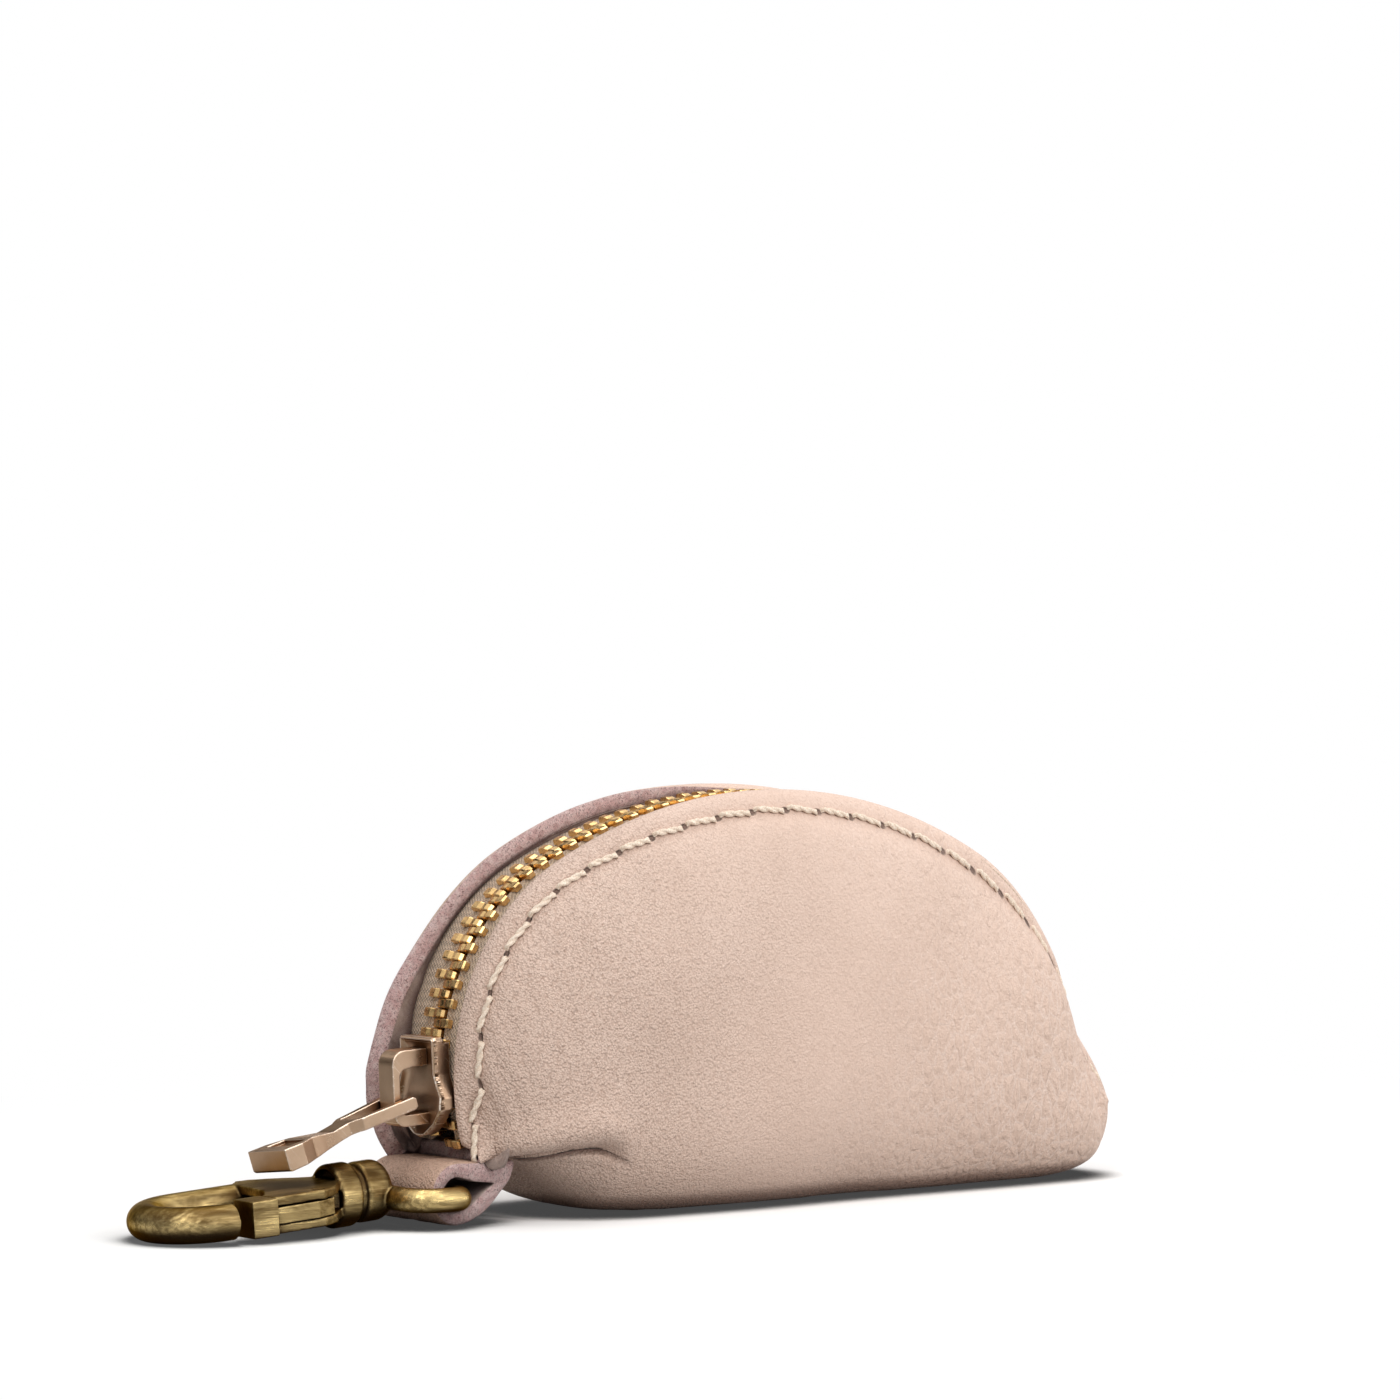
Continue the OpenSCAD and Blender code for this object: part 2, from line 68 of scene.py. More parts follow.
SHOULDER_X = ARCH_W / 2 - SHOULDER_R
RISE = ARCH_H - SHOULDER_R
TOP_Z = (SHOULDER_X ** 2 + SHOULDER_Z ** 2 - RISE ** 2) / (2 * (SHOULDER_Z - RISE))
TOP_R = ARCH_H - TOP_Z
JOIN = math.atan2(SHOULDER_X, SHOULDER_Z - TOP_Z)
SHOULDER_LEN = (math.pi / 2 - JOIN + math.radians(END_DROP)) * SHOULDER_R
ARCH_LEN = 2 * SHOULDER_LEN + 2 * JOIN * TOP_R
SLIDER_S = math.radians(180 + END_DROP - SLIDER_DEG) * SHOULDER_R
STITCHES = math.floor((ARCH_LEN - SEAM_ENDS) / STITCH_PITCH)
FIRST_HOLE = (ARCH_LEN - STITCHES * STITCH_PITCH) / 2

# the fold along the bottom: level in the middle, and a curve up at each end
FOLD_SHARE, FOLD_FLAT, FOLD_SINK = 0.32, 18.0, 0.8
FOLD_LEFT = ((-FOLD_FLAT, 0), (-40, 0), (-37.5, 8.8), (-47.5, 8.9))
FOLD_RIGHT = ((FOLD_FLAT, 0), (62, 0), (56.7, 1), (56.3, 11.4))
# at the right end the cut edges leave the zip and run to the end of the fold
RIGHT_RUN, RIGHT_REACH = 16.5, np.array([8.7, 0, 0.5])
BELLY = 0.64  # where down the wall the panel is deepest
SQUARE = 2 / 2.6  # power that makes the lower wall squarish
# how far the back panel's cut edge stands out, by distance along the zip: it
# flares beside the slider
FLARE_S = [0, 1.9, 4, 6, 8, 10, 13.3, 16.6, 20.2, 24.4, 28.9, 34, 44, 52.6, 61, 69,
           73, 77, 85, 154]
FLARE_N = [0.9, 2.2, 3.9, 4.6, 4.9, 4.45, 3.6, 3.25, 2.7, 1.85, 1.4, 1.2, 1.35, 1.35,
           1.05, 0.45, 0.05, -0.3, -0.4, -0.4]
FLARE_BLUR = 1.5
# the crease beside the tab, as x and z
CREASE = np.array([(-45.0, 6.9), (-41.6, 7.7), (-37.5, 8.6), (-33.0, 8.9),
                   (-30.5, 8.4), (-27.0, 6.4)])
# broad waves of soft leather: along x, along z, phase and height
WAVES = ((0.11, 0.09, 1.0, 0.22), (0.19, -0.16, 2.3, 0.14),
         (-0.07, 0.21, 4.1, 0.14), (0.31, 0.27, 0.4, 0.05))
COLUMNS, ROWS = 320, 58
SKIN_SHARE = 0.975  # the part of the zip's length that has skin
FAR_OFF = 40.0  # seam distance where there is no seam


# ---- the pouch's shape

def arch(s):
    """Point on the zip line at distance s and the direction out of the pouch there."""
    s = np.asarray(s, float)
    top_end = ARCH_LEN - SHOULDER_LEN
    left, right = s < SHOULDER_LEN, s > top_end
    angle = np.where(
        left, math.pi + math.radians(END_DROP) - s / SHOULDER_R,
        np.where(right, math.pi / 2 - JOIN - (s - top_end) / SHOULDER_R,
                 math.pi / 2 + JOIN - (s - SHOULDER_LEN) / TOP_R))
    cx = np.where(left, -SHOULDER_X, np.where(right, SHOULDER_X, 0.0))
    cz = np.where(left | right, SHOULDER_Z, TOP_Z)
    r = np.where(left | right, SHOULDER_R, TOP_R)
    out = np.stack([np.cos(angle), 0 * angle, np.sin(angle)], -1)
    return np.stack([cx, 0 * cx, cz], -1) + out * r[..., None], out


def bezier(points, t):
    """Points on a cubic curve with four control points, t from 0 to 1."""
    a, b, c, d = np.array(points, float)
    t = t[..., None]
    return (1 - t) ** 3 * a + 3 * t * (1 - t) ** 2 * b + 3 * t ** 2 * (1 - t) * c + t ** 3 * d


def fold(u):
    """The fold along the bottom, u from 0 at the left end to 1 at the right."""
    left = bezier(FOLD_LEFT, np.clip((FOLD_SHARE - u) / FOLD_SHARE, 0, 1))
    right = bezier(FOLD_RIGHT, np.clip((u - 1 + FOLD_SHARE) / FOLD_SHARE, 0, 1))
    mid = np.stack([(u - 0.5) / (0.5 - FOLD_SHARE) * FOLD_FLAT, 0 * u], -1)
    p = np.where((u > 1 - FOLD_SHARE)[..., None], right, mid)
    p = np.where((u < FOLD_SHARE)[..., None], left, p)
    return np.stack([p[..., 0], 0 * u, p[..., 1] - FOLD_SINK], -1)


def smooth(t):
    t = np.clip(t, 0, 1)
    return t * t * (3 - 2 * t)


def bell(x, middle, width):
    return np.exp(-((x - middle) / width) ** 2)


def sizes_at(u, side):
    """Cut edge, direction out, distance down to the fold and depth of a panel at u."""
    point, out = arch(u * ARCH_LEN)
    edge = point + out * (BACK_LIP if side > 0 else FRONT_LIP)
    leave = smooth((u * ARCH_LEN - ARCH_LEN + RIGHT_RUN) / RIGHT_RUN)
    edge = edge + leave[..., None] * RIGHT_REACH
    span = np.linalg.norm(fold(u) - edge, axis=-1)
    deep = np.maximum(8, HALF_DEPTH * (1 - np.exp(-span / (14 + 26 * u))))
    return edge, out, span, deep


def seam_depth(deep):
    """How far the seam lies outside the mouth: less where the panel is shallow."""
    return np.minimum(SEAM_IN, 0.75 * (deep - MOUTH_HALF))


def seam_share(u, side):
    """How far down the wall the seam lies, on the same 0 to 1 scale as v."""
    deep = sizes_at(u, side)[3]
    return np.arcsin(np.minimum(0.75, SEAM_IN / (deep - MOUTH_HALF))) / math.pi


def wall(u, v, side):
    """The leather's outer skin: v is 0 at the cut edge and 1 at the fold."""
    edge, out, span, deep = sizes_at(u, side)
    direction = (fold(u) - edge) / span[..., None]
    turn = math.pi * v
    upper = turn <= math.pi / 2
    c, s = np.cos(turn), np.clip(np.sin(turn), 0, 1)
    soft = np.clip(-c, 0, 1) ** SQUARE
    d = np.where(upper, BELLY * span * (1 - c), span * (BELLY + (1 - BELLY) * soft))
    y = np.where(upper, MOUTH_HALF + (deep - MOUTH_HALF) * s, deep * s ** SQUARE)
    p = edge + direction * d[..., None]
    if side > 0:
        along = u * ARCH_LEN
        near = [np.interp(along + d, FLARE_S, FLARE_N) for d in (0, -FLARE_BLUR, FLARE_BLUR)]
        rise = sum(near) / len(near)
        back = np.maximum(0.3 + 0.55 * (rise - 1), 0)
        reach = 2.4 + 1.1 * np.clip(rise, 0, 3)
        t = np.clip((y - MOUTH_HALF) / reach, 0, 1)
        share = np.where(upper, 1 - smooth(t), 0)
        p = p + out * ((rise - BACK_LIP) * np.where(upper, (1 - t) ** 1.6, 0))[..., None]
        y = y + back * share
        # the flap hangs at its lower left end
        p[..., 2] -= 1.7 * smooth((11 - along) / 10) * share
    p[..., 1] = side * y
    return p


def seam_relief(u, v, y, deep):
    """The seam pulls the leather in, most at its holes; the strip outside stays plump."""
    from_seam = np.abs(y) - (MOUTH_HALF + seam_depth(deep))
    shown = (v < 0.5) * smooth(np.minimum(u, 1 - u) / 0.03)
    beat = np.cos(2 * math.pi * (u * ARCH_LEN - FIRST_HOLE) / STITCH_PITCH)
    relief = 0.16 * bell(from_seam, -2.2, 1.4) - 0.38 * bell(from_seam, 0, 0.85)
    relief -= 0.17 * np.maximum(beat, 0) ** 4 * bell(from_seam, 0, 0.7)
    relief -= 0.07 * beat * bell(from_seam, 2.2, 1.8)
    return shown * relief


def pinch_relief(x, z):
    """A crease beside the tab with a fuller panel over it, and the front's full belly."""
    dz = z - np.interp(x, CREASE[:, 0], CREASE[:, 1])
    fade = smooth((-26.5 - x) / 6.0) * smooth((x + 47) / 3)
    deepest = smooth((-28.0 - x) / 2.5)
    relief = -fade * (1.5 * bell(dz, -0.35, 0.75) * deepest + 0.6 * bell(dz, -0.4, 1.6))
    relief += fade * 1.3 * bell(dz, 2.6, 2.3)
    relief -= fade * 1.7 * smooth(-dz / 3.0) * smooth((-24 - x) / 14)
    # a soft hollow runs up from the crease
    relief -= 0.55 * bell(x + 0.35 * (z - 18), -24, 7) * bell(z, 17, 9)
    return relief + 0.5 * bell(x, 8, 24) * bell(z, 20, 14)


def sculpt(p, n, u, v, side):
    """Moves skin points along their normals: seam valley, creases, sags and lumps."""
    x, y, z = p[..., 0], p[..., 1], p[..., 2]
    move = seam_relief(u, v, y, sizes_at(u, side)[3])
    if side < 0:
        move += pinch_relief(x, z)
    for a, b, c, size in WAVES:
        move += size * np.sin(a * x + b * z + 0.13 * side * y + c) * smooth(v / 0.2)
    # the left end droops, and the right end is drawn in where the edges meet the fold
    droop = smooth((0.075 - u) / 0.07) * (0.5 + 0.8 * smooth((np.abs(y) - 4) / 3))
    drawn = 0.85 * bell(z, 10.5, 2.3) * smooth((x - 52.3) / 3.5)
    p = p - np.stack([drawn, 0 * drawn, droop], -1)
    return p + n * (move * smooth((0.985 - u) / 0.04))[..., None]


def normals_of(grid):
    n = np.cross(np.gradient(grid, axis=1), np.gradient(grid, axis=0))
    return n / np.maximum(np.linalg.norm(n, axis=-1, keepdims=True), 1e-9)


def steady(n, p, u):
    """Normals, turned to point plainly away from the middle where the right end closes."""
    away = (p - np.array([44.0, 0, 12])) * np.array([1, 1, 0.25])
    away /= np.linalg.norm(away, axis=-1, keepdims=True)
    share = smooth((u - 0.84) / 0.04)[..., None]
    n = n * (1 - share) + away * share
    return n / np.linalg.norm(n, axis=-1, keepdims=True)


def skin():
    """Grids of outer points for the front and the back panel, and the seam's distance."""
    out = {}
    u = 0.5 + (np.linspace(0, 1, COLUMNS) - 0.5) * SKIN_SHARE
    v = np.linspace(0, 1, ROWS) ** 1.25
    uu, vv = np.meshgrid(u, v, indexing="ij")
    for side in (-1, 1):
        p = wall(uu, vv, side)
        n = steady(normals_of(p) * (-side), p, uu)
        p = sculpt(p, n, uu, vv, side)
        # what would sink into the ground lies flat on it
        ground = TAB_LOW[2] + 0.02
        low = p[..., 2] < ground
        p[..., 2] = np.where(low, ground + 0.02 * (p[..., 2] - ground), p[..., 2])
        deep = sizes_at(uu, side)[3]
        y = (deep - MOUTH_HALF) * np.sin(math.pi * np.minimum(vv, 0.5))
        off = np.where(vv < 0.5, y - seam_depth(deep), FAR_OFF)
        out[side] = (p, uu, vv, off)
    return out


def smooth_grid(p, times):
    for _ in range(times):
        q = p.copy()
        q[1:-1, 1:-1] = (p[1:-1, 1:-1] * 2 + p[:-2, 1:-1] + p[2:, 1:-1]
                         + p[1:-1, :-2] + p[1:-1, 2:]) / 6
        p = q
    return p


# ---- making objects

def link(name, data):
    ob = bpy.data.objects.new(name, data)
    scene.collection.objects.link(ob)
    return ob


def mesh_of(name, verts, faces):
    me = bpy.data.meshes.new(name)
    me.from_pydata([tuple(v) for v in np.asarray(verts) * MM], [], faces)
    return me


def mend(me, merge=0.0, turn=True):
    """Joins points less than merge metres apart, and turns all faces outwards."""
    bm = bmesh.new()
    bm.from_mesh(me)
    if merge:
        bmesh.ops.remove_doubles(bm, verts=bm.verts, dist=merge)
    if turn:
        bmesh.ops.recalc_face_normals(bm, faces=bm.faces)
    bm.to_mesh(me)
    bm.free()


def shade_smooth(me):
    me.polygons.foreach_set("use_smooth", [True] * len(me.polygons))


def tube(rings, flip=False):
    """Faces between neighbouring closed rings of point numbers."""
    rings = np.asarray(rings)
    onward = np.roll(rings, -1, axis=1)
    corners = [rings[:-1], onward[:-1], onward[1:], rings[1:]]
    if flip:
        corners = corners[:1] + corners[:0:-1]
    return np.stack(corners, -1).reshape(-1, 4)


def sheet(ids):
    """Faces between neighbouring rows and columns of a grid of point numbers."""
    corners = [ids[:-1, :-1], ids[:-1, 1:], ids[1:, 1:], ids[1:, :-1]]
    return np.stack(corners, -1).reshape(-1, 4)


def new_object(name, verts, faces, materials, face_material=None, uv=None):
    me = mesh_of(name, verts, faces)
    for m in materials:
        me.materials.append(m)
    if face_material is not None:
        me.polygons.foreach_set("material_index", np.asarray(face_material, np.int32))
    shade_smooth(me)
    if uv is not None:
        layer = me.uv_layers.new(name="UVMap")
        loops = np.empty(len(me.loops), np.int32)
        me.loops.foreach_get("vertex_index", loops)
        layer.data.foreach_set("uv", np.asarray(uv, np.float32)[loops].ravel())
    me.validate()
    me.update()
    return link(name, me)


def with_modifiers(ob, name):
    """The object's mesh after its modifiers; the object itself is removed."""
    bpy.context.view_layer.update()
    dg = bpy.context.evaluated_depsgraph_get()
    made = bpy.data.meshes.new_from_object(ob.evaluated_get(dg))
    bpy.data.objects.remove(ob)
    made.name = name
    return made


def finish_piece(ob, body, node):
    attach(ob, body)
    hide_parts(node)


# ---- node helpers

class Nodes:
    """Short ways to add and join nodes in one tree."""

    def __init__(self, tree):
        self.tree = tree

    def add(self, kind, **values):
        """A new node; each value goes to its setting, or else to its input."""
        node = self.tree.nodes.new(kind)
        for key in [key for key in values if hasattr(node, key)]:
            setattr(node, key, values.pop(key))
        return self.fill(node, **values)

    def fill(self, node, **values):
        for key, value in values.items():
            self.put(node.inputs[key.replace("_", " ")], value)
        return node

    def put(self, socket, value):
        if isinstance(value, bpy.types.NodeSocket):
            self.tree.links.new(value, socket)
        elif socket.type == "RGBA" and len(value) == 3:
            socket.default_value = (*value, 1)
        else:
            socket.default_value = value

    def wire(self, node, *values):
        """Puts the values on the node's first inputs, in order."""
        for socket, value in zip(node.inputs, values):
            self.put(socket, value)
        return node.outputs[0]

    def math(self, operation, *values, clamp=False):
        return self.wire(self.add("ShaderNodeMath", operation=operation, use_clamp=clamp), *values)

    def plus(self, a, b, clamp=False):
        return self.math("ADD", a, b, clamp=clamp)

    def minus(self, a, b):
        return self.math("SUBTRACT", a, b)

    def times(self, a, b):
        return self.math("MULTIPLY", a, b)

    def mix(self, share, a, b):
        node = self.add("ShaderNodeMix", data_type="RGBA", blend_type="MIX", Factor=share)
        self.put(node.inputs[6], a)
        self.put(node.inputs[7], b)
        return node.outputs[2]

    def coat(self, tone, mask, share, colour):
        """The tone under a colour, where the mask is, as strongly as the share says."""
        return self.mix(self.times(mask, share), tone, colour)

    def band(self, value, low, high, to_low=0.0, to_high=1.0):
        return self.add("ShaderNodeMapRange", interpolation_type="SMOOTHSTEP", Value=value,
                        From_Min=low, From_Max=high, To_Min=to_low, To_Max=to_high).outputs[0]

    def noise(self, vector, scale, detail=2.0, rough=0.5, warp=0.0):
        return self.add("ShaderNodeTexNoise", Vector=vector, Scale=scale, Detail=detail,
                        Roughness=rough, Distortion=warp).outputs["Fac"]

    def cells(self, vector, scale, feature="DISTANCE_TO_EDGE"):
        return self.add("ShaderNodeTexVoronoi", feature=feature, Vector=vector,
                        Scale=scale).outputs["Distance"]

    def stretch(self, vector, scale, turn=(0, 0, 0)):
        return self.add("ShaderNodeMapping", Vector=vector, Scale=scale,
                        Rotation=turn).outputs[0]

    def axes(self, vector):
        return self.add("ShaderNodeSeparateXYZ", Vector=vector).outputs

    def openness(self, distance, samples=8):
        """1 where nothing is near, and less in a hollow or at a contact."""
        return self.add("ShaderNodeAmbientOcclusion", samples=samples,
                        Distance=distance).outputs["AO"]

    def bump(self, height, strength, distance, **more):
        return self.add("ShaderNodeBump", Height=height, Strength=strength, Distance=distance,
                        **more).outputs[0]


def group(name, sizes, outputs):
    """A node group's helper, output node and vector, and the scale for each size in mm."""
    tree = bpy.data.node_groups.new(name, "ShaderNodeTree")
    sockets = [("Vector", "INPUT", "Vector")] + [(label, "INPUT", "Float") for label in sizes]
    for label, in_out, kind in sockets + [(label, "OUTPUT", "Float") for label in outputs]:
        tree.interface.new_socket(name=label, in_out=in_out, socket_type="NodeSocket" + kind)
    n = Nodes(tree)
    values = n.add("NodeGroupInput").outputs
    scales = [n.math("DIVIDE", 1 / MM, values[label]) for label in sizes]
    return n, n.add("NodeGroupOutput"), values["Vector"], *scales


def use(n, tree, **values):
    node = n.tree.nodes.new("ShaderNodeGroup")
    node.node_tree = tree
    return n.fill(node, **values).outputs


def empty_tree(owner):
    owner.use_nodes = True
    owner.node_tree.nodes.clear()
    return Nodes(owner.node_tree)


def material(name):
    m = bpy.data.materials.new(name)
    n = empty_tree(m)
    shader = n.add("ShaderNodeBsdfPrincipled")
    n.add("ShaderNodeOutputMaterial", Surface=shader.outputs[0])
    return m, n, shader, n.add("ShaderNodeTexCoord").outputs["Object"]


def make_pebble():
    """Leather grain: soft pebbles, fine pores and a net of faint veins."""
    n, o, v, pebble_scale, pore_scale = group("pebble_grain", ("Pebble Size", "Pore Size"),
                                              ("Pebble", "Pore", "Vein"))
    wander = n.add("ShaderNodeTexNoise", Vector=v, Scale=420.0, Detail=3.0)
    warp = n.wire(n.add("ShaderNodeVectorMath", operation="MULTIPLY_ADD"),
                  wander.outputs["Color"], (0.0012,) * 3, v)
    moved = n.stretch(warp, (1.0, 1.0, 0.5))
    edge = n.cells(moved, pebble_scale)
    small = n.cells(moved, n.times(pebble_scale, 2.3))
    pits = n.minus(1.0, n.cells(v, pore_scale, "F1"))
    dust = n.noise(v, n.times(pore_scale, 0.8), 2.0, 0.6)
    pebble = n.plus(n.times(n.band(edge, 0.0, 0.45), 0.8), n.times(n.band(small, 0.0, 0.4), 0.2))
    n.fill(o, Pebble=pebble, Pore=n.plus(n.times(pits, 0.55), n.times(dust, 0.6)),
           Vein=n.band(edge, 0.09, 0.0))
    return n.tree


def make_fibre():
    """Raw fibre, as on a cut edge or a flesh side: clumps, specks and fuzz."""
    n, o, v, scale = group("fibre", ("Fibre Size",), ("Height", "Speck", "Clump"))
    fuzz = n.noise(v, scale, 6.0, 0.75, 1.2)
    clump = n.noise(v, n.times(scale, 0.28), 3.0, 0.6, 0.8)
    speck = n.noise(v, n.times(scale, 0.8), 4.0, 0.7, 2.0)
    n.fill(o, Height=n.plus(n.times(fuzz, 0.7), n.times(clump, 0.5)),
           Speck=n.band(speck, 0.51, 0.60), Clump=n.band(clump, 0.35, 0.65))
    return n.tree


def make_wear_and_painted_light():
    """Masks on metal: sharp outer edges, rubbed on the hook and a painted highlight on the zip and
    slider; recesses, for painted shade on the zip; and large patches.
    """
    n, o, v, scale = group("edge_wear_and_painted_light", ("Patch Size",), ("Edge", "Recess", "Patch"))
    point = n.add("ShaderNodeNewGeometry").outputs["Pointiness"]
    n.fill(o, Edge=n.band(point, 0.505, 0.56), Recess=n.band(point, 0.495, 0.45),
           Patch=n.noise(v, scale, 4.0, 0.6, 0.4))
    return n.tree


def make_brush():
    """Fine lines left by brushing, drawn out along one axis of the vector."""
    n, o, v, scale = group("brushed_lines", ("Line Size",), ("Height", "Streak"))
    streak = n.noise(v, n.times(scale, 0.22), 3.0, 0.6)
    n.fill(o, Height=n.noise(v, scale, 4.0, 0.65), Streak=n.band(streak, 0.35, 0.65))
    return n.tree


PEBBLE, FIBRE, WEAR_AND_PAINTED_LIGHT, BRUSH = make_pebble(), make_fibre(), make_wear_and_painted_light(), make_brush()


# ---- materials

SKIN_DEEP, SKIN_PALE = (0.74, 0.548, 0.45), (0.79, 0.595, 0.495)
SKIN_WARM, SKIN_VEIN = (0.775, 0.565, 0.452), (0.86, 0.70, 0.62)
# the tones for hollows, the seam, its holes, the crease beside the tab and hollows in raw fibre are
# painted shade and shadow
SKIN_PORE, SKIN_PAINTED_SHADE = (0.45, 0.29, 0.22), (0.20, 0.105, 0.075)
SEAM_SHADE, HOLE_PAINTED_SHADE, CREASE_PAINTED_SHADOW = (0.40, 0.25, 0.19), (0.10, 0.05, 0.035), (0.12, 0.055, 0.04)
FIBRE_PAINTED_SHADE = (0.085, 0.022, 0.022)
THREAD_TONES = (0.72, 0.56, 0.43), (0.94, 0.82, 0.69)
TAPE_TONES = (0.46, 0.32, 0.215), (0.80, 0.62, 0.46)
ZIP_TONES = (0.46, 0.235, 0.065), (0.78, 0.455, 0.155)
# for the zip, the dark tone is painted shade between teeth and the edge tone a painted highlight
ZIP_PAINTED_SHADE, ZIP_PAINTED_HIGHLIGHT = (0.16, 0.07, 0.02), (0.96, 0.68, 0.32)
SATIN_TONES, SATIN_TINT = ((0.55, 0.375, 0.25), (0.64, 0.455, 0.315)), (0.88, 0.68, 0.52)
# for the satin, the dark tone is painted shade and the edge tone a painted highlight
SATIN_PAINTED_SHADE, SATIN_PAINTED_HIGHLIGHT = (0.12, 0.065, 0.035), (0.98, 0.86, 0.74)
BRASS_TONES, BRASS_TINT = ((0.080, 0.044, 0.014), (0.80, 0.60, 0.27)), (0.72, 0.50, 0.24)
BRASS_DARK = (0.022, 0.012, 0.008)
STEEL_TONES = (0.4, 0.4, 0.4), (0.62, 0.62, 0.6)


def crease_shadow_mask(n, x, y, z):
    """The line beside the tab, in metres, where the leather folds sharply under itself; it carries
    a painted shadow and a deeper bump.
    """
    line = n.minus(n.band(x, -0.0450, -0.0340, 0.0068, 0.0089),
                   n.band(x, -0.0325, -0.0265, 0.0, 0.0022))
    under = n.minus(line, z)
    mask = n.times(n.band(under, -0.0001, 0.0001), n.band(under, 0.001, 0.0001))
    mask = n.times(mask, n.band(x, -0.0262, -0.0325))
    return n.times(mask, n.band(y, -0.004, -0.006))


def seam_masks(n):
    """The groove of the seam and its holes, from the along-and-across map in mm: masks for painted
    shade, and for the holes a bump.
    """
    along, across = n.axes(n.add("ShaderNodeUVMap").outputs[0])[:2]
    beat = n.math("PINGPONG", n.minus(along, FIRST_HOLE), STITCH_PITCH / 2)
    reach = n.math("SQRT", n.plus(n.math("POWER", n.times(beat, 0.8), 2.0),
                                  n.math("POWER", n.times(across, 2.0), 2.0)))
    shown = n.band(along, 0.8 * ARCH_LEN, 0.86 * ARCH_LEN, 1, 0.1)
    return n.band(n.math("ABSOLUTE", across), 0.9, 0.1), n.times(n.band(reach, 0.62, 0.25), shown)


def leather_material(name, tint=(1, 1, 1), sewn=False):
    """Grained leather: fine on the left, bolder with pale veins towards the right."""
    def tinted(colour):
        return tuple(c * t for c, t in zip(colour, tint))

    m, n, shader, at = material(name)
    x, y, z = n.axes(at)
    patch = n.noise(at, 38.0)
    across = n.plus(x, n.times(n.minus(patch, 0.5), 0.03))
    coarse = n.band(across, -0.01, 0.045)
    fineness = n.band(across, -0.035, 0.005, 1.0, 0.3)
    grain = use(n, PEBBLE, Vector=at, Pebble_Size=1.0, Pore_Size=0.3)
    bold = use(n, PEBBLE, Vector=at, Pebble_Size=1.6, Pore_Size=0.8)
    veins = n.times(n.times(bold["Vein"], coarse), n.band(patch, 0.3, 0.6, 0.3, 1.0))
    cloud = n.band(n.noise(at, 55.0, 3.0, 0.55), 0.3, 0.7)
    tone = n.mix(cloud, tinted(SKIN_DEEP), tinted(SKIN_PALE))
    tone = n.coat(tone, coarse, 0.4, tinted(SKIN_WARM))
    tone = n.coat(tone, veins, 0.5, tinted(SKIN_VEIN))
    speck = n.band(n.noise(at, 2300.0, 3.0, 0.65), 0.44, 0.34)
    pores = n.times(n.band(grain["Pore"], 0.62, 0.44), 0.42)
    dark = n.times(n.plus(pores, n.times(speck, 0.38), clamp=True), fineness)
    tone = n.mix(dark, tone, tinted(SKIN_PORE))
    # painted shade: the skin darkens where other leather or parts are near, in creases and hollows
    painted_shade = n.band(n.openness(0.0035), 0.72, 0.2, 0.0, 0.75)
    tone = n.mix(painted_shade, tone, tinted(SKIN_PAINTED_SHADE))
    # the bold grain stands highest low down on the right
    low_down = n.times(n.band(z, 0.03, 0.006), coarse)
    boldness = n.plus(n.times(low_down, 0.15), n.times(coarse, 0.5))
    height = n.plus(n.times(grain["Pore"], fineness), n.times(bold["Pebble"], boldness))
    if sewn:
        crease_shadow = crease_shadow_mask(n, x, y, z)
        groove, hole = seam_masks(n)
        # painted shadow along the crease beside the tab
        tone = n.coat(tone, crease_shadow, 0.8, CREASE_PAINTED_SHADOW)
        # painted shade in the seam's groove and its stitch holes
        tone = n.coat(tone, groove, 0.2, SEAM_SHADE)
        tone = n.coat(tone, hole, 0.85, HOLE_PAINTED_SHADE)
        height = n.minus(n.minus(height, n.times(crease_shadow, 1.5)), n.times(hole, 1.5))
    relief = n.bump(grain["Pebble"], 0.3, 0.00025, Normal=n.bump(height, 1.0, 0.0004))
    n.fill(shader, Base_Color=tone, Roughness=n.band(grain["Pore"], 0.4, 0.75, 0.62, 0.45),
           Specular_IOR_Level=0.4, Normal=relief)
    return m


def fibre_material(name, pale, dark, speck_colour, specks):
    """Raw leather: a cut edge or the flesh side."""
    m, n, shader, at = material(name)
    f = use(n, FIBRE, Vector=at, Fibre_Size=0.27)
    tone = n.mix(f["Clump"], dark, pale)
    fleck = n.plus(f["Speck"], n.band(f["Height"], 0.50, 0.40), clamp=True)
    tone = n.coat(tone, fleck, specks, speck_colour)
    # painted shade on raw fibre where other leather or parts are near
    painted_shade = n.band(n.openness(0.008), 0.55, 0.12, 0.0, 0.85)
    n.fill(shader, Base_Color=n.mix(painted_shade, tone, FIBRE_PAINTED_SHADE), Roughness=0.92,
           Specular_IOR_Level=0.15, Sheen_Weight=0.25, Sheen_Roughness=0.6,
           Normal=n.bump(f["Height"], 1.0, 0.0006))
    return m


def thread_material():
    m, n, shader, at = material("waxed_thread")
    lines = n.noise(at, 5200.0, 3.0, 0.6)
    n.fill(shader, Base_Color=n.mix(n.band(lines, 0.35, 0.65), *THREAD_TONES), Roughness=0.55,
           Specular_IOR_Level=0.35, Normal=n.bump(lines, 0.5, 0.00006))
    return m


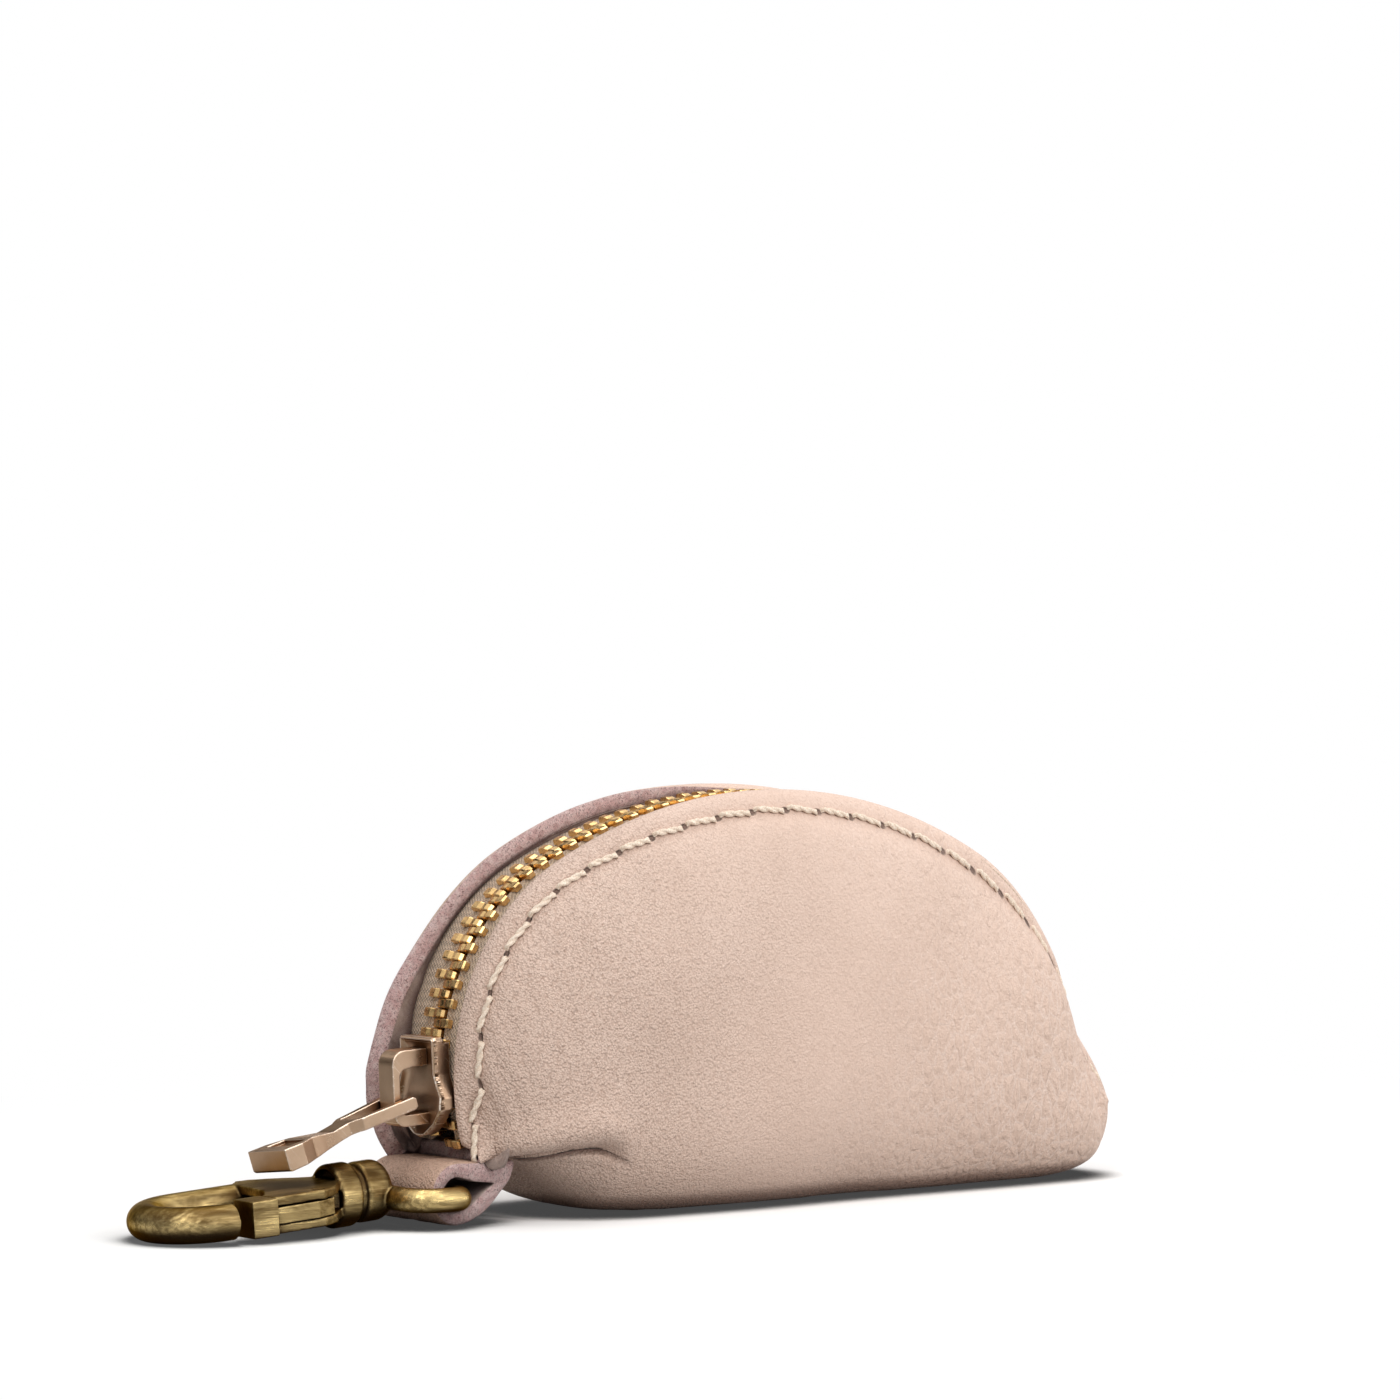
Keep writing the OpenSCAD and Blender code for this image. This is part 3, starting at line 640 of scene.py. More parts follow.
def tape_material():
    """Woven tape: a plain weave under a diagonal rib, from its own map in mm."""
    m, n, shader, at = material("woven_tape")
    x, y = n.axes(n.add("ShaderNodeUVMap").outputs[0])[:2]

    def ribs(where, pitch):
        return n.math("SINE", n.times(where, 2 * math.pi / pitch))

    twill = ribs(n.plus(x, n.times(y, 1.4)), 0.9)
    weave = n.plus(n.times(n.times(ribs(y, 0.62), ribs(x, 0.5)), 0.5), n.times(twill, 0.35))
    fuzz = n.noise(at, 3000.0, 4.0, 0.7)
    light = n.band(n.plus(weave, n.minus(fuzz, 0.5)), -0.8, 0.7)
    n.fill(shader, Base_Color=n.mix(light, *TAPE_TONES), Roughness=0.88, Sheen_Weight=0.2,
           Normal=n.bump(n.plus(weave, n.times(fuzz, 0.9)), 1.0, 0.00025))
    return m


def zip_brass_material():
    m, n, shader, at = material("zip_brass")
    w = use(n, WEAR_AND_PAINTED_LIGHT, Vector=at, Patch_Size=0.9)
    tone = n.mix(n.band(w["Patch"], 0.35, 0.65), *ZIP_TONES)
    # painted shade in the recesses between teeth, and a painted highlight on their edges
    tone = n.coat(tone, w["Recess"], 0.6, ZIP_PAINTED_SHADE)
    tone = n.coat(tone, w["Edge"], 0.6, ZIP_PAINTED_HIGHLIGHT)
    n.fill(shader, Base_Color=tone, Metallic=1.0,
           Roughness=n.band(w["Patch"], 0.3, 0.7, 0.2, 0.36),
           Normal=n.bump(n.noise(at, 1800.0, 3.0, 0.6), 0.25, 0.0001))
    return m


def champagne_material():
    """Satin plating, a little sandy, with a painted highlight on its edges and painted shade where
    it is shut in.
    """
    m, n, shader, at = material("champagne_satin")
    w = use(n, WEAR_AND_PAINTED_LIGHT, Vector=at, Patch_Size=5.0)
    tone = n.mix(n.band(w["Patch"], 0.3, 0.7), *SATIN_TONES)
    # painted shade where other parts are near, and a painted highlight on the sharp edges
    tone = n.coat(tone, n.band(n.openness(0.0035, 16), 0.92, 0.4), 0.85, SATIN_PAINTED_SHADE)
    tone = n.coat(tone, w["Edge"], 0.85, SATIN_PAINTED_HIGHLIGHT)
    n.fill(shader, Base_Color=tone, Metallic=1.0, Specular_Tint=SATIN_TINT,
           Roughness=n.band(w["Patch"], 0.3, 0.7, 0.27, 0.35),
           Normal=n.bump(n.noise(at, 5200.0, 3.0, 0.7), 0.3, 0.00007))
    return m


def antique_material():
    """Brushed brass under a dark finish that is rubbed off at its edges and in patches; darker on
    the upper side, so the brass shows along the hook's flank.
    """
    m, n, shader, at = material("antique_brass")
    w = use(n, WEAR_AND_PAINTED_LIGHT, Vector=n.stretch(at, (0.35, 0.8, 1.1)), Patch_Size=3.2)
    b = use(n, BRUSH, Vector=n.stretch(at, (0.06, 0.9, 1), (0, -0.07, 0)), Line_Size=0.13)
    open_air = n.band(n.openness(0.0034), 0.5, 0.93)
    worn = n.plus(n.times(w["Edge"], 0.6), n.band(w["Patch"], 0.28, 0.62, 0.2, 1.0), clamp=True)
    worn = n.times(worn, n.band(open_air, 0, 1, 0.15, 1.0))
    # darker on the upper side, above a line that rises with the hook
    x, _, z = n.axes(at)
    above = n.minus(z, n.band(x, -0.0887, -0.0487, 0.0022, 0.0051))
    darker_above = n.times(n.band(above, -0.0002, 0.0016), n.band(w["Patch"], 0.68, 0.36, 0.35, 0.85))
    worn = n.times(worn, n.minus(1.0, darker_above))
    streaked = n.times(worn, n.band(b["Streak"], 0, 1, 0.45, 1.0))
    tone = n.mix(streaked, *BRASS_TONES)
    tone = n.coat(tone, n.minus(1.0, open_air), 0.9, BRASS_DARK)
    n.fill(shader, Base_Color=tone, Metallic=1.0, Specular_Tint=BRASS_TINT,
           Roughness=n.band(streaked, 0, 1, 0.36, 0.25),
           Normal=n.bump(b["Height"], 0.5, 0.0001))
    return m


def spring_material():
    m, n, shader, at = material("spring_steel")
    patch = use(n, WEAR_AND_PAINTED_LIGHT, Vector=at, Patch_Size=0.6)["Patch"]
    n.fill(shader, Base_Color=n.mix(patch, *STEEL_TONES), Metallic=1.0,
           Roughness=n.band(patch, 0.3, 0.7, 0.28, 0.42))
    return m


LEATHER = leather_material("dusty_pink_leather", sewn=True)
TAB_LEATHER = leather_material("tab_leather", (0.90, 0.82, 0.76))
CUT_EDGE = fibre_material("cut_edge", (0.96, 0.73, 0.70), (0.80, 0.51, 0.49),
                          (0.22, 0.06, 0.06), 0.8)
FLESH = fibre_material("flesh_side", (0.66, 0.50, 0.43), (0.54, 0.38, 0.32),
                       (0.34, 0.20, 0.17), 0.35)
THREAD = thread_material()
TAPE = tape_material()
ZIP_BRASS = zip_brass_material()
CHAMPAGNE = champagne_material()
ANTIQUE = antique_material()
SPRING = spring_material()


# ---- leather body

SKIN = skin()
RIM_STEPS = 5


def body_skin(u):
    """One grid from the front cut edge, round the fold, to the back cut edge."""
    outer = np.concatenate([SKIN[-1][0], SKIN[1][0][:, ::-1][:, 1:]], axis=1)
    near_fold = slice(ROWS - 4, ROWS + 3)
    outer[:, near_fold] = smooth_grid(outer, 3)[:, near_fold]
    closing = smooth((u - 0.87) / 0.06)[..., None]
    outer = outer * (1 - closing) + smooth_grid(outer, 24) * closing
    n = normals_of(outer)
    if n[COLUMNS // 2, 12, 1] > 0:
        n = -n
    return outer, steady(n, outer, u + np.zeros((1, outer.shape[1])))


def body_thickness(u, outer):
    """Fuller under the back flap's lip, and thin where the right end closes."""
    steps = np.linalg.norm(np.diff(outer[:, ::-1], axis=1), axis=-1)
    from_edge = np.concatenate([np.zeros((COLUMNS, 1)), np.cumsum(steps, axis=1)], 1)[:, ::-1]
    rise = np.interp(u, np.array(FLARE_S) / ARCH_LEN, FLARE_N)
    flared = np.clip((rise - 1) / 2.6, 0, 1)
    thick = LEATHER_T + 0.25 * bell(from_edge, 0, 1.5) + flared * 1.3 * bell(from_edge, 4.0, 2.2)
    return thick * (1 - 0.45 * smooth((u - 0.9) / 0.06))


def border(ids, inset=0):
    """The grid's four sides in order, or lines as many points in from them."""
    last = -1 - inset
    return [ids[:, inset], ids[last, :], ids[:, last][::-1], ids[inset, :][::-1]]


def rim_rows(verts, ids, count):
    """The cut edge between the skins, a little rounded and ragged away from its corners."""
    loop, inside = [np.concatenate([side[:-1] for side in border(ids, k)]) for k in (0, 3)]
    free = []
    for side, size in zip(border(ids), (1, 0.25, 1, 0.25)):
        k = np.arange(len(side) - 1)
        free.append(size * smooth(np.minimum(k, len(side) - 2 - k) / 8))
    free = np.concatenate(free)
    a, b = verts[loop], verts[loop + count]
    tangent = np.roll(a, -1, 0) - np.roll(a, 1, 0)
    tangent /= np.maximum(np.linalg.norm(tangent, axis=1, keepdims=True), 1e-9)
    away = np.cross(tangent, a - b)
    away /= np.maximum(np.linalg.norm(away, axis=1, keepdims=True), 1e-9)
    away[((verts[inside] - a) * away).sum(1) > 0] *= -1
    rows = []
    for k in range(1, RIM_STEPS):
        t = k / RIM_STEPS
        ragged = 0.2 * (rng.random(len(loop)) - 0.5) + 0.28 * math.sin(math.pi * t)
        rows.append(a * (1 - t) + b * t + away * (ragged * free)[:, None])
    return loop, rows


def leather_body():
    u = SKIN[-1][1][:, :1]
    outer, n = body_skin(u)
    inner = outer - n * body_thickness(u, outer)[..., None]
    inner[..., 2] = np.maximum(inner[..., 2], LEATHER_T)
    verts = np.concatenate([outer.reshape(-1, 3), inner.reshape(-1, 3)])
    count = len(verts) // 2
    ids = np.arange(count).reshape(outer.shape[:2])
    loop, rows = rim_rows(verts, ids, count)
    rings = [loop] + [np.arange(len(loop)) + 2 * count + k * len(loop) for k in range(len(rows))]
    faces = [sheet(ids), sheet(ids + count)[:, ::-1], tube(rings + [loop + count])]
    kinds = np.repeat([0, 1, 2], [len(f) for f in faces])
    verts = np.concatenate([verts] + rows)
    off = np.concatenate([SKIN[-1][3], SKIN[1][3][:, ::-1][:, 1:]], axis=1)
    uv = np.full((len(verts), 2), FAR_OFF)
    uv[:count] = np.stack([u * ARCH_LEN + 0 * off, off], -1).reshape(-1, 2)
    ob = new_object("pouch_leather", verts, np.concatenate(faces).tolist(),
                    [LEATHER, FLESH, CUT_EDGE], kinds, uv)
    mend(ob.data, merge=1e-6)
    finish_piece(ob, "pouch", "leather_body")


leather_body()


# ---- pieces that repeat along the zip and the seam, placed by geometry nodes

def scatter_tree():
    """Puts one shape on every point of the piece, turned by the point's own frame."""
    tree = bpy.data.node_groups.new("set_along_path", "GeometryNodeTree")
    for label, in_out, kind in (("Geometry", "INPUT", "Geometry"), ("Shape", "INPUT", "Object"),
                                ("Material", "INPUT", "Material"),
                                ("Geometry", "OUTPUT", "Geometry")):
        tree.interface.new_socket(name=label, in_out=in_out, socket_type="NodeSocket" + kind)
    n = Nodes(tree)
    i, o = n.add("NodeGroupInput"), n.add("NodeGroupOutput")
    shape = n.add("GeometryNodeObjectInfo", Object=i.outputs["Shape"])
    turn, stretch = [n.add("GeometryNodeInputNamedAttribute", data_type="FLOAT_VECTOR",
                           Name=name).outputs["Attribute"] for name in ("turn", "stretch")]
    rotation = n.wire(n.add("FunctionNodeEulerToRotation"), turn)
    points = n.add("GeometryNodeMeshToPoints", Mesh=i.outputs["Geometry"])
    put = n.add("GeometryNodeInstanceOnPoints", Points=points.outputs[0],
                Instance=shape.outputs["Geometry"], Rotation=rotation, Scale=stretch)
    real = n.wire(n.add("GeometryNodeRealizeInstances"), put.outputs[0])
    n.fill(o, Geometry=n.add("GeometryNodeSetMaterial", Geometry=real,
                             Material=i.outputs["Material"]).outputs[0])
    return tree


SCATTER = scatter_tree()


def scatter(name, points, frames, stretches, shape, mat):
    """Points in mm; frames are 3x3 with the shape's X, Y, Z axes as columns."""
    me = mesh_of(name, points, [])
    eulers = [list(Matrix(f.tolist()).to_euler("XYZ")) for f in frames]
    for label, values in (("turn", eulers), ("stretch", stretches)):
        layer = me.attributes.new(label, "FLOAT_VECTOR", "POINT")
        layer.data.foreach_set("vector", np.array(values, np.float32).ravel())
    ob = link(name + "_points", me)
    mod = ob.modifiers.new("set", "NODES")
    mod.node_group = SCATTER
    sockets = {s.name: s.identifier for s in SCATTER.interface.items_tree if s.in_out == "INPUT"}
    mod[sockets["Shape"]] = shape
    mod[sockets["Material"]] = mat
    ob.update_tag()
    return link(name, with_modifiers(ob, name))


def shape_object(name, verts, faces):
    """An object outside the scene, for others to copy."""
    me = mesh_of(name, verts, faces)
    me.update()
    mend(me, merge=1e-7)
    return bpy.data.objects.new(name, me)


def prism(rings, count):
    """Faces of a closed solid from rings of count points, numbered one after another."""
    ids = rings.reshape(-1, count)
    return tube(ids).tolist() + [ids[0, ::-1].tolist(), ids[-1].tolist()]


# ---- stitches

THREAD_LEN, THREAD_R = 5.4, 0.385
THREAD_RINGS, THREAD_SIDES = 26, 8
THREAD_TWIST = 1.7  # turns of the plies in one stitch
STITCH_REACH = 2.6  # along the zip, where its direction is read
STITCH_SLANT = 7.5


def stitch_shape():
    """Two plies of thread wound round each other; both ends dive into the leather."""
    t = np.linspace(0, 1, THREAD_RINGS)[:, None]
    a = 2 * math.pi * np.arange(THREAD_SIDES) / THREAD_SIDES
    dive = smooth((np.abs(t - 0.5) - 0.36) / 0.14)
    fat = THREAD_R * 0.72 * (1 - 0.3 * smooth((np.abs(t - 0.5) - 0.34) / 0.16))
    verts, faces = [], []
    for ply in (0, 1):
        twist = 2 * math.pi * THREAD_TWIST * t + ply * math.pi
        ring = np.stack([(t - 0.5) * THREAD_LEN + 0 * a,
                         0.17 * np.cos(twist) + fat * np.cos(a),
                         0.13 * np.sin(twist) + 0.9 * fat * np.sin(a) - dive], -1)
        faces += prism(np.arange(ring[..., 0].size) + len(verts), THREAD_SIDES)
        verts += ring.reshape(-1, 3).tolist()
    ob = shape_object("stitch_shape", verts, faces)
    shade_smooth(ob.data)
    return ob


STITCH = stitch_shape()


def skin_at(u, side):
    """Point and outward normal of the seam on the finished skin, from the grid."""
    p, uu, vv = SKIN[side][:3]
    v = float(seam_share(np.array(u), side))
    rows, columns = len(uu), len(vv[0])
    i = np.clip(np.interp(u, uu[:, 0], np.arange(rows)), 1, rows - 2.001)
    j = np.clip(np.interp(v, vv[0], np.arange(columns)), 1, columns - 2.001)
    i0, j0 = int(i), int(j)
    near = p[i0:i0 + 2, j0:j0 + 2]
    q = np.einsum("i,j,ijk", (1 - i + i0, i - i0), (1 - j + j0, j - j0), near)
    du = p[min(i0 + 3, rows - 1), j0] - p[max(i0 - 2, 0), j0]
    dv = p[i0, min(j0 + 4, columns - 1)] - p[i0, max(j0 - 3, 0)]
    n = np.cross(du, dv) * side
    return q, steady(n / np.linalg.norm(n), q, np.array(u))


def seam_stitches(side, name, node):
    """The front's seam has one stitch more, at its left end."""
    points, frames, stretches = [], [], []
    for k in range(-1 if side < 0 else 0, STITCHES):
        s = FIRST_HOLE + (k + 0.5) * STITCH_PITCH
        u = s / ARCH_LEN
        q, n = skin_at(u, side)
        before, after = [skin_at((s + d) / ARCH_LEN, side)[0]
                         for d in (-STITCH_REACH, STITCH_REACH)]
        q = (q * 2 + before + after) / 4
        t = (after - before) / np.linalg.norm(after - before)
        n = n - t * (n @ t)
        n /= np.linalg.norm(n)
        slant = math.radians(STITCH_SLANT + rng.uniform(-1.5, 1.5)) * side
        t = t * math.cos(slant) + np.cross(n, t) * math.sin(slant)
        # towards the right end the stitches sink in
        lift = 0.32 - 0.55 * float(smooth((u - 0.74) / 0.16))
        points.append(q + n * lift)
        frames.append(np.stack([t, np.cross(n, t), n], 1))
        w = rng.uniform(0.95, 1.05)
        stretches.append((rng.uniform(0.97, 1.0), w, w))
    ob = scatter(name, points, frames, stretches, STITCH, THREAD)
    finish_piece(ob, "pouch", node)


seam_stitches(-1, "front_stitches", "front_seam_thread")
seam_stitches(1, "back_stitches", "back_seam_thread")


# ---- zip

PART_LEN, PART_Y = 3.0, 1.42  # the chain parts below the slider
ZIP_ENDS = 0.9  # bare zip length at each end
TOOTH_BEVEL = 0.12
# sections of a tooth: a jaw on each face of the tape, and the head with its nib
JAW = [(0.38, -2.9), (1.02, -2.86), (1.2, -2.6), (1.2, -1.5), (0.98, -0.85), (0.38, -0.85)]
HEAD = [(-0.95, -1.3), (0.95, -1.3), (1.02, -0.2), (0.9, 0.55), (0.6, 0.9), (-0.6, 0.9),
        (-0.9, 0.55), (-1.02, -0.2)]
TAPE_STEPS, TAPE_IN, TAPE_WIDE = 220, 1.3, 5.8
TAPE_SECTION = [(1.3, 0.0), (1.35, 0.42), (1.7, 0.5), (2.1, 0.34), (3.0, 0.3), (4.2, 0.3),
                (5.4, 0.3), (6.2, 0.28), (7.1, 0.24), (7.1, -0.3), (5.0, -0.3), (3.0, -0.3),
                (2.1, -0.34), (1.7, -0.5), (1.35, -0.42)]


def parting(s):
    return PART_Y * min(1, max(0, (SLIDER_S - s) / PART_LEN))


def tooth_shape():
    """X out of the pouch, Y towards the other tape, Z along the zip."""
    verts, faces = [], []

    def block(section, half, inset):
        """A prism of an XY section with its rims bevelled."""
        section = np.array(section)
        c = section.mean(0)
        start, m = len(verts), len(section)
        for z, k in ((-half, 1 - inset), (TOOTH_BEVEL - half, 1), (half - TOOTH_BEVEL, 1),
                     (half, 1 - inset)):
            verts.extend((*(c + (p - c) * k), z) for p in section)
        faces.extend(prism(np.arange(start, len(verts)), m))

    for s in (1, -1):
        block([(s * x, y) for x, y in JAW][::s], 0.54, 0.10)
    block(HEAD, 0.53, 0.14)
    return shape_object("tooth_shape", verts, faces)


TOOTH = tooth_shape()


def teeth(side, name, node, shift):
    count = math.floor((ARCH_LEN - 2 * ZIP_ENDS - shift) / TOOTH_PITCH)
    points, frames = [], []
    y = np.array([0, -side, 0.0])
    for k in range(count + 1):
        s = ZIP_ENDS + shift + k * TOOTH_PITCH
        p, out = arch(np.array(s))
        z = np.cross(out, y)
        wobble = math.radians(rng.uniform(-1.6, 1.6))
        x = out * math.cos(wobble) + y * math.sin(wobble)
        points.append(p + out * TAPE_N - y * parting(s))
        frames.append(np.stack([x, np.cross(z, x), z], 1))
    ob = scatter(name, points, frames, np.ones((len(points), 3)), TOOTH, ZIP_BRASS)
    finish_piece(ob, "pouch", node)


teeth(-1, "front_teeth", "front_zip_teeth", 0)
teeth(1, "back_teeth", "back_zip_teeth", TOOTH_PITCH / 2)


def tape(side, name, node):
    """A woven strip with a corded inner edge, running in under the leather."""
    verts, uv = [], []
    for s in np.linspace(ZIP_ENDS, ARCH_LEN - ZIP_ENDS, TAPE_STEPS):
        p, out = arch(np.array(s))
        # narrower at both ends, where the leather closes over it
        wide = 4.4 + 1.4 * smooth((min(s, ARCH_LEN - s) - 8) / 14)
        for across, n in TAPE_SECTION:
            y = TAPE_IN + (across - TAPE_IN) * wide / TAPE_WIDE
            y += parting(s) * max(0, 1 - (y - TAPE_IN) / 3)
            verts.append(p + out * (TAPE_N + n) + np.array([0, side * y, 0]))
            uv.append((s, y))
    faces = prism(np.arange(len(verts)), len(TAPE_SECTION))
    ob = new_object(name, verts, faces, [TAPE], uv=uv)
    mend(ob.data)
    finish_piece(ob, "pouch", node)


tape(-1, "front_tape", "front_zip_tape")
tape(1, "back_tape", "back_zip_tape")


# ---- leather tab

TAB_COUNT, TAB_WIDE, TAB_RIM = 150, 40, 8  # points round it, across it and on its edge


def half_turn(x, r, radius, step):
    """Points from the top of a circle round its left side to the bottom."""
    return [(x + radius * math.cos(a), r + radius * math.sin(a))
            for a in np.radians(np.arange(90, 271, step))]


def even_loop(points, times):
    """TAB_COUNT even points on a closed outline, softened, from its top onwards."""
    p = np.array(points + points[:1], float)
    d = np.concatenate([[0], np.cumsum(np.linalg.norm(np.diff(p, axis=0), axis=1))])
    t = np.linspace(0, d[-1], TAB_COUNT, endpoint=False)
    p = np.stack([np.interp(t, d, p[:, 0]), np.interp(t, d, p[:, 1])], -1)
    for _ in range(times):
        p = (np.roll(p, 1, 0) + 2 * p + np.roll(p, -1, 0)) / 4
    return p


def leather_tab():
    """A strip folded round the eye ring: drawn as a closed side outline, then given width."""
    end, r = TAB_HIGH[0], TAB_HIGH[2] / 2
    x = TAB_LOW[0] + r
    outer = half_turn(x, r, r, 12) + [
        (x + 1.6, 0.25), (x + 3.4, 1.1), (x + 5.2, 2.4), (end - 1.9, 4.0), (end - 0.7, 5.3),
        (end, 7.5), (end - 0.5, 7.9), (end - 2.2, 7.5), (end - 4.5, 7.7), (x + 2.6, 7.85)]
    hole = half_turn(x, r, r - LEATHER_T, 15) + [
        (x + 1.4, 2.3), (x + 2.6, 3.2), (x + 4.2, 4.3), (x + 5.4, 5.0), (x + 4.2, 5.15),
        (x + 2.4, 5.3)]
    loops = [even_loop(outer, 6), even_loop(hole, 4)]
    mid = loops[1].mean(0)
    rows = []
    for loop, sign in zip(loops, (1, -1)):
        # both loops start at the same angle from the hole's middle
        angle = np.arctan2(loop[:, 1] - mid[1], loop[:, 0] - mid[0])
        loop = np.roll(loop, -int(np.argmin(np.abs(angle - math.pi / 2))), 0)
        out = loop - loop.mean(0)
        out /= np.linalg.norm(out, axis=1, keepdims=True)
        for y in np.linspace(TAB_LOW[1], TAB_HIGH[1], TAB_WIDE):
            round_in = 0.16 * math.exp(-min(y - TAB_LOW[1], TAB_HIGH[1] - y) / 0.3)
            lump = 0.12 * np.sin(0.5 * y + 0.6 * loop[:, 0]) + 0.08 * np.sin(1.1 * y + loop[:, 1])
            inwards = sign * round_in + np.abs(lump) * (0.5 if sign > 0 else 0)
            p = loop - out * inwards[:, None]
            rows.append(np.stack([p[:, 0], np.full(TAB_COUNT, y), p[:, 1]], -1))
    ids = np.arange(2 * TAB_WIDE * TAB_COUNT).reshape(2, TAB_WIDE, TAB_COUNT)
    faces = [tube(ids[0]), tube(ids[1])[:, ::-1]]
    # the raw edges, with a few rows for their roughness
    for k, outwards in ((0, -1), (TAB_WIDE - 1, 1)):
        rings = [ids[0, k]]
        for t in np.arange(1, TAB_RIM) / TAB_RIM:
            p = rows[k] * (1 - t) + rows[TAB_WIDE + k] * t
            ragged = rng.uniform(-0.07, 0.07, TAB_COUNT)
            p[:, 1] += outwards * (0.22 * math.sin(math.pi * t) + ragged)
            rings.append(np.arange(TAB_COUNT) + len(rows) * TAB_COUNT)
            rows.append(p)
        faces.append(tube(rings + [ids[1, k]], flip=True))
    kinds = np.repeat([0, 1, 2, 2], [len(f) for f in faces])
    ob = new_object("tab", np.concatenate(rows), np.concatenate(faces).tolist(),
                    [TAB_LEATHER, FLESH, CUT_EDGE], kinds)
    mend(ob.data)
    finish_piece(ob, "pouch", "leather_tab")


leather_tab()


# ---- metal pieces: each starts as the part's own solid, then gets cast, rounded edges

SLIDER_AT, SLIDER_OUT = arch(np.array(SLIDER_S))
SLIDER_DOWN = np.array([-SLIDER_OUT[2], 0, SLIDER_OUT[0]])
SLIDER_HALF = 4.95  # half the slider's width at its shoulders
SLIDER_END = 6.2  # half its length
# half the top plate's width, by distance down the chain
PLATE_DOWN = [-SLIDER_END, -5.8, -1.6, 1.2, 2.6, 4.4, 5.8, SLIDER_END]
PLATE_HALF = [3.35, 3.75, 3.75, SLIDER_HALF, SLIDER_HALF, 3.6, 1.5, 0]
CROWN_HALF = 1.62
PULL_TILT = 6.0


def cast(node, name, body, slot, mat, step, rounds, shape=None, reshape=None):
    """A close grid over the solid, relaxed so its edges round over, and reshaped if need be."""
    me = (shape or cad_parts[node]).data.copy()
    mend(me, merge=1e-6, turn=False)
    ob = link(name, me)
    grid = ob.modifiers.new("grid", "REMESH")
    grid.mode, grid.voxel_size = "VOXEL", step * MM
    relax = ob.modifiers.new("round", "SMOOTH")
    relax.factor, relax.iterations = 0.5, rounds
    made = with_modifiers(ob, name)
    if reshape:
        p = np.empty(len(made.vertices) * 3, np.float32)
        made.vertices.foreach_get("co", p)
        moved = reshape(p.reshape(-1, 3) / MM).astype(np.float32) * MM
        made.vertices.foreach_set("co", moved.ravel())
    made.materials.clear()
    made.materials.append(mat)
    shade_smooth(made)
    finish_piece(link(name, made), body, node)


def dish(p):
    """Hollows the slider's top plate between a thin raised rim and rolls its outer edge."""
    d = p - SLIDER_AT
    n, y, down = d @ SLIDER_OUT, d[..., 1], d @ SLIDER_DOWN
    slope = np.interp(down, [2.6, 4.4, SLIDER_END], [1.0, 0.72, 0.5])
    side = (np.interp(down, PLATE_DOWN, PLATE_HALF) - np.abs(y)) * slope
    rim = np.minimum.reduce([side, down + SLIDER_END, (SLIDER_END - down) * 0.8])
    top = 1.1 + 0.62 * np.exp(-(np.maximum(rim - 0.28, 0) / 0.5) ** 1.3)
    top -= 0.2 * smooth((0.3 - rim) / 0.3)
    top += 0.12 * smooth((down - 0.5) / 2) - 0.1 * bell(down, 1.0, 0.8)
    return p + np.multiply.outer(np.where(n > 1.0, top - n, 0), SLIDER_OUT)


def crown_shape():
    """The strip over the slider's plate: feet, rounded shoulders and a flat back."""
    def corner(n, d, r, start, stop):
        return [(n + r * math.cos(a), d + r * math.sin(a))
                for a in np.radians(np.linspace(start, stop, 9))]

    side = [(1.15, -4.85)] + corner(4.5, -3.1, 1.75, -90, 0) + corner(4.6, 2.9, 1.65, 0, 90)
    side += [(1.15, 4.5), (1.15, 3.1)] + corner(4.4, 2.25, 0.85, 90, 0)
    side += corner(4.2, -1.5, 1.05, 0, -70) + [(3.4, -2.7), (1.15, -2.75)]
    flat = SLIDER_AT + np.array(side) @ np.array([SLIDER_OUT, SLIDER_DOWN])
    verts = np.concatenate([flat + np.array([0, y, 0]) for y in (-CROWN_HALF, CROWN_HALF)])
    m = len(side)
    ends = [list(range(m)), list(range(m, 2 * m))[::-1]]
    faces = ends + tube(np.arange(2 * m).reshape(2, m)).tolist()
    return shape_object("crown_shape", verts, faces)


def askew(p):
    """The pull hangs a little askew on its bar, near edge up."""
    p = p.copy()
    p[:, 2] -= p[:, 1] * math.tan(math.radians(PULL_TILT)) * smooth((BAR_X - p[:, 0]) / 10)
    return p


SATIN, BRASS = ("champagne_metal", CHAMPAGNE), ("antique_brass", ANTIQUE)
# the two numbers are the grid step, in mm, and the rounds of smoothing
cast("slider_body", "zip_slider", "slider", *SATIN, 0.081, 3, reshape=dish)
cast("slider_crown", "slider_lug", "slider", *SATIN, 0.06, 18, shape=crown_shape())
cast("pull_tab", "zip_pull", "pull", *SATIN, 0.066, 8, reshape=askew)
cast("swivel_eye", "hook_eye", "eye", *BRASS, 0.12, 4)
cast("hook_frame", "snap_hook", "hook", *BRASS, 0.124, 6)
cast("hook_gate", "snap_gate", "gate", *BRASS, 0.07, 9)

for node, mat in (("gate_pin", ANTIQUE), ("gate_spring", SPRING), ("slider_lock_spring", SPRING)):
    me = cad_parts[node].data
    if me.materials:
        for k in range(len(me.materials)):
            me.materials[k] = mat
    else:
        me.materials.append(mat)


# ---- floor, light and camera, in metres

FLOOR_HALF = 3
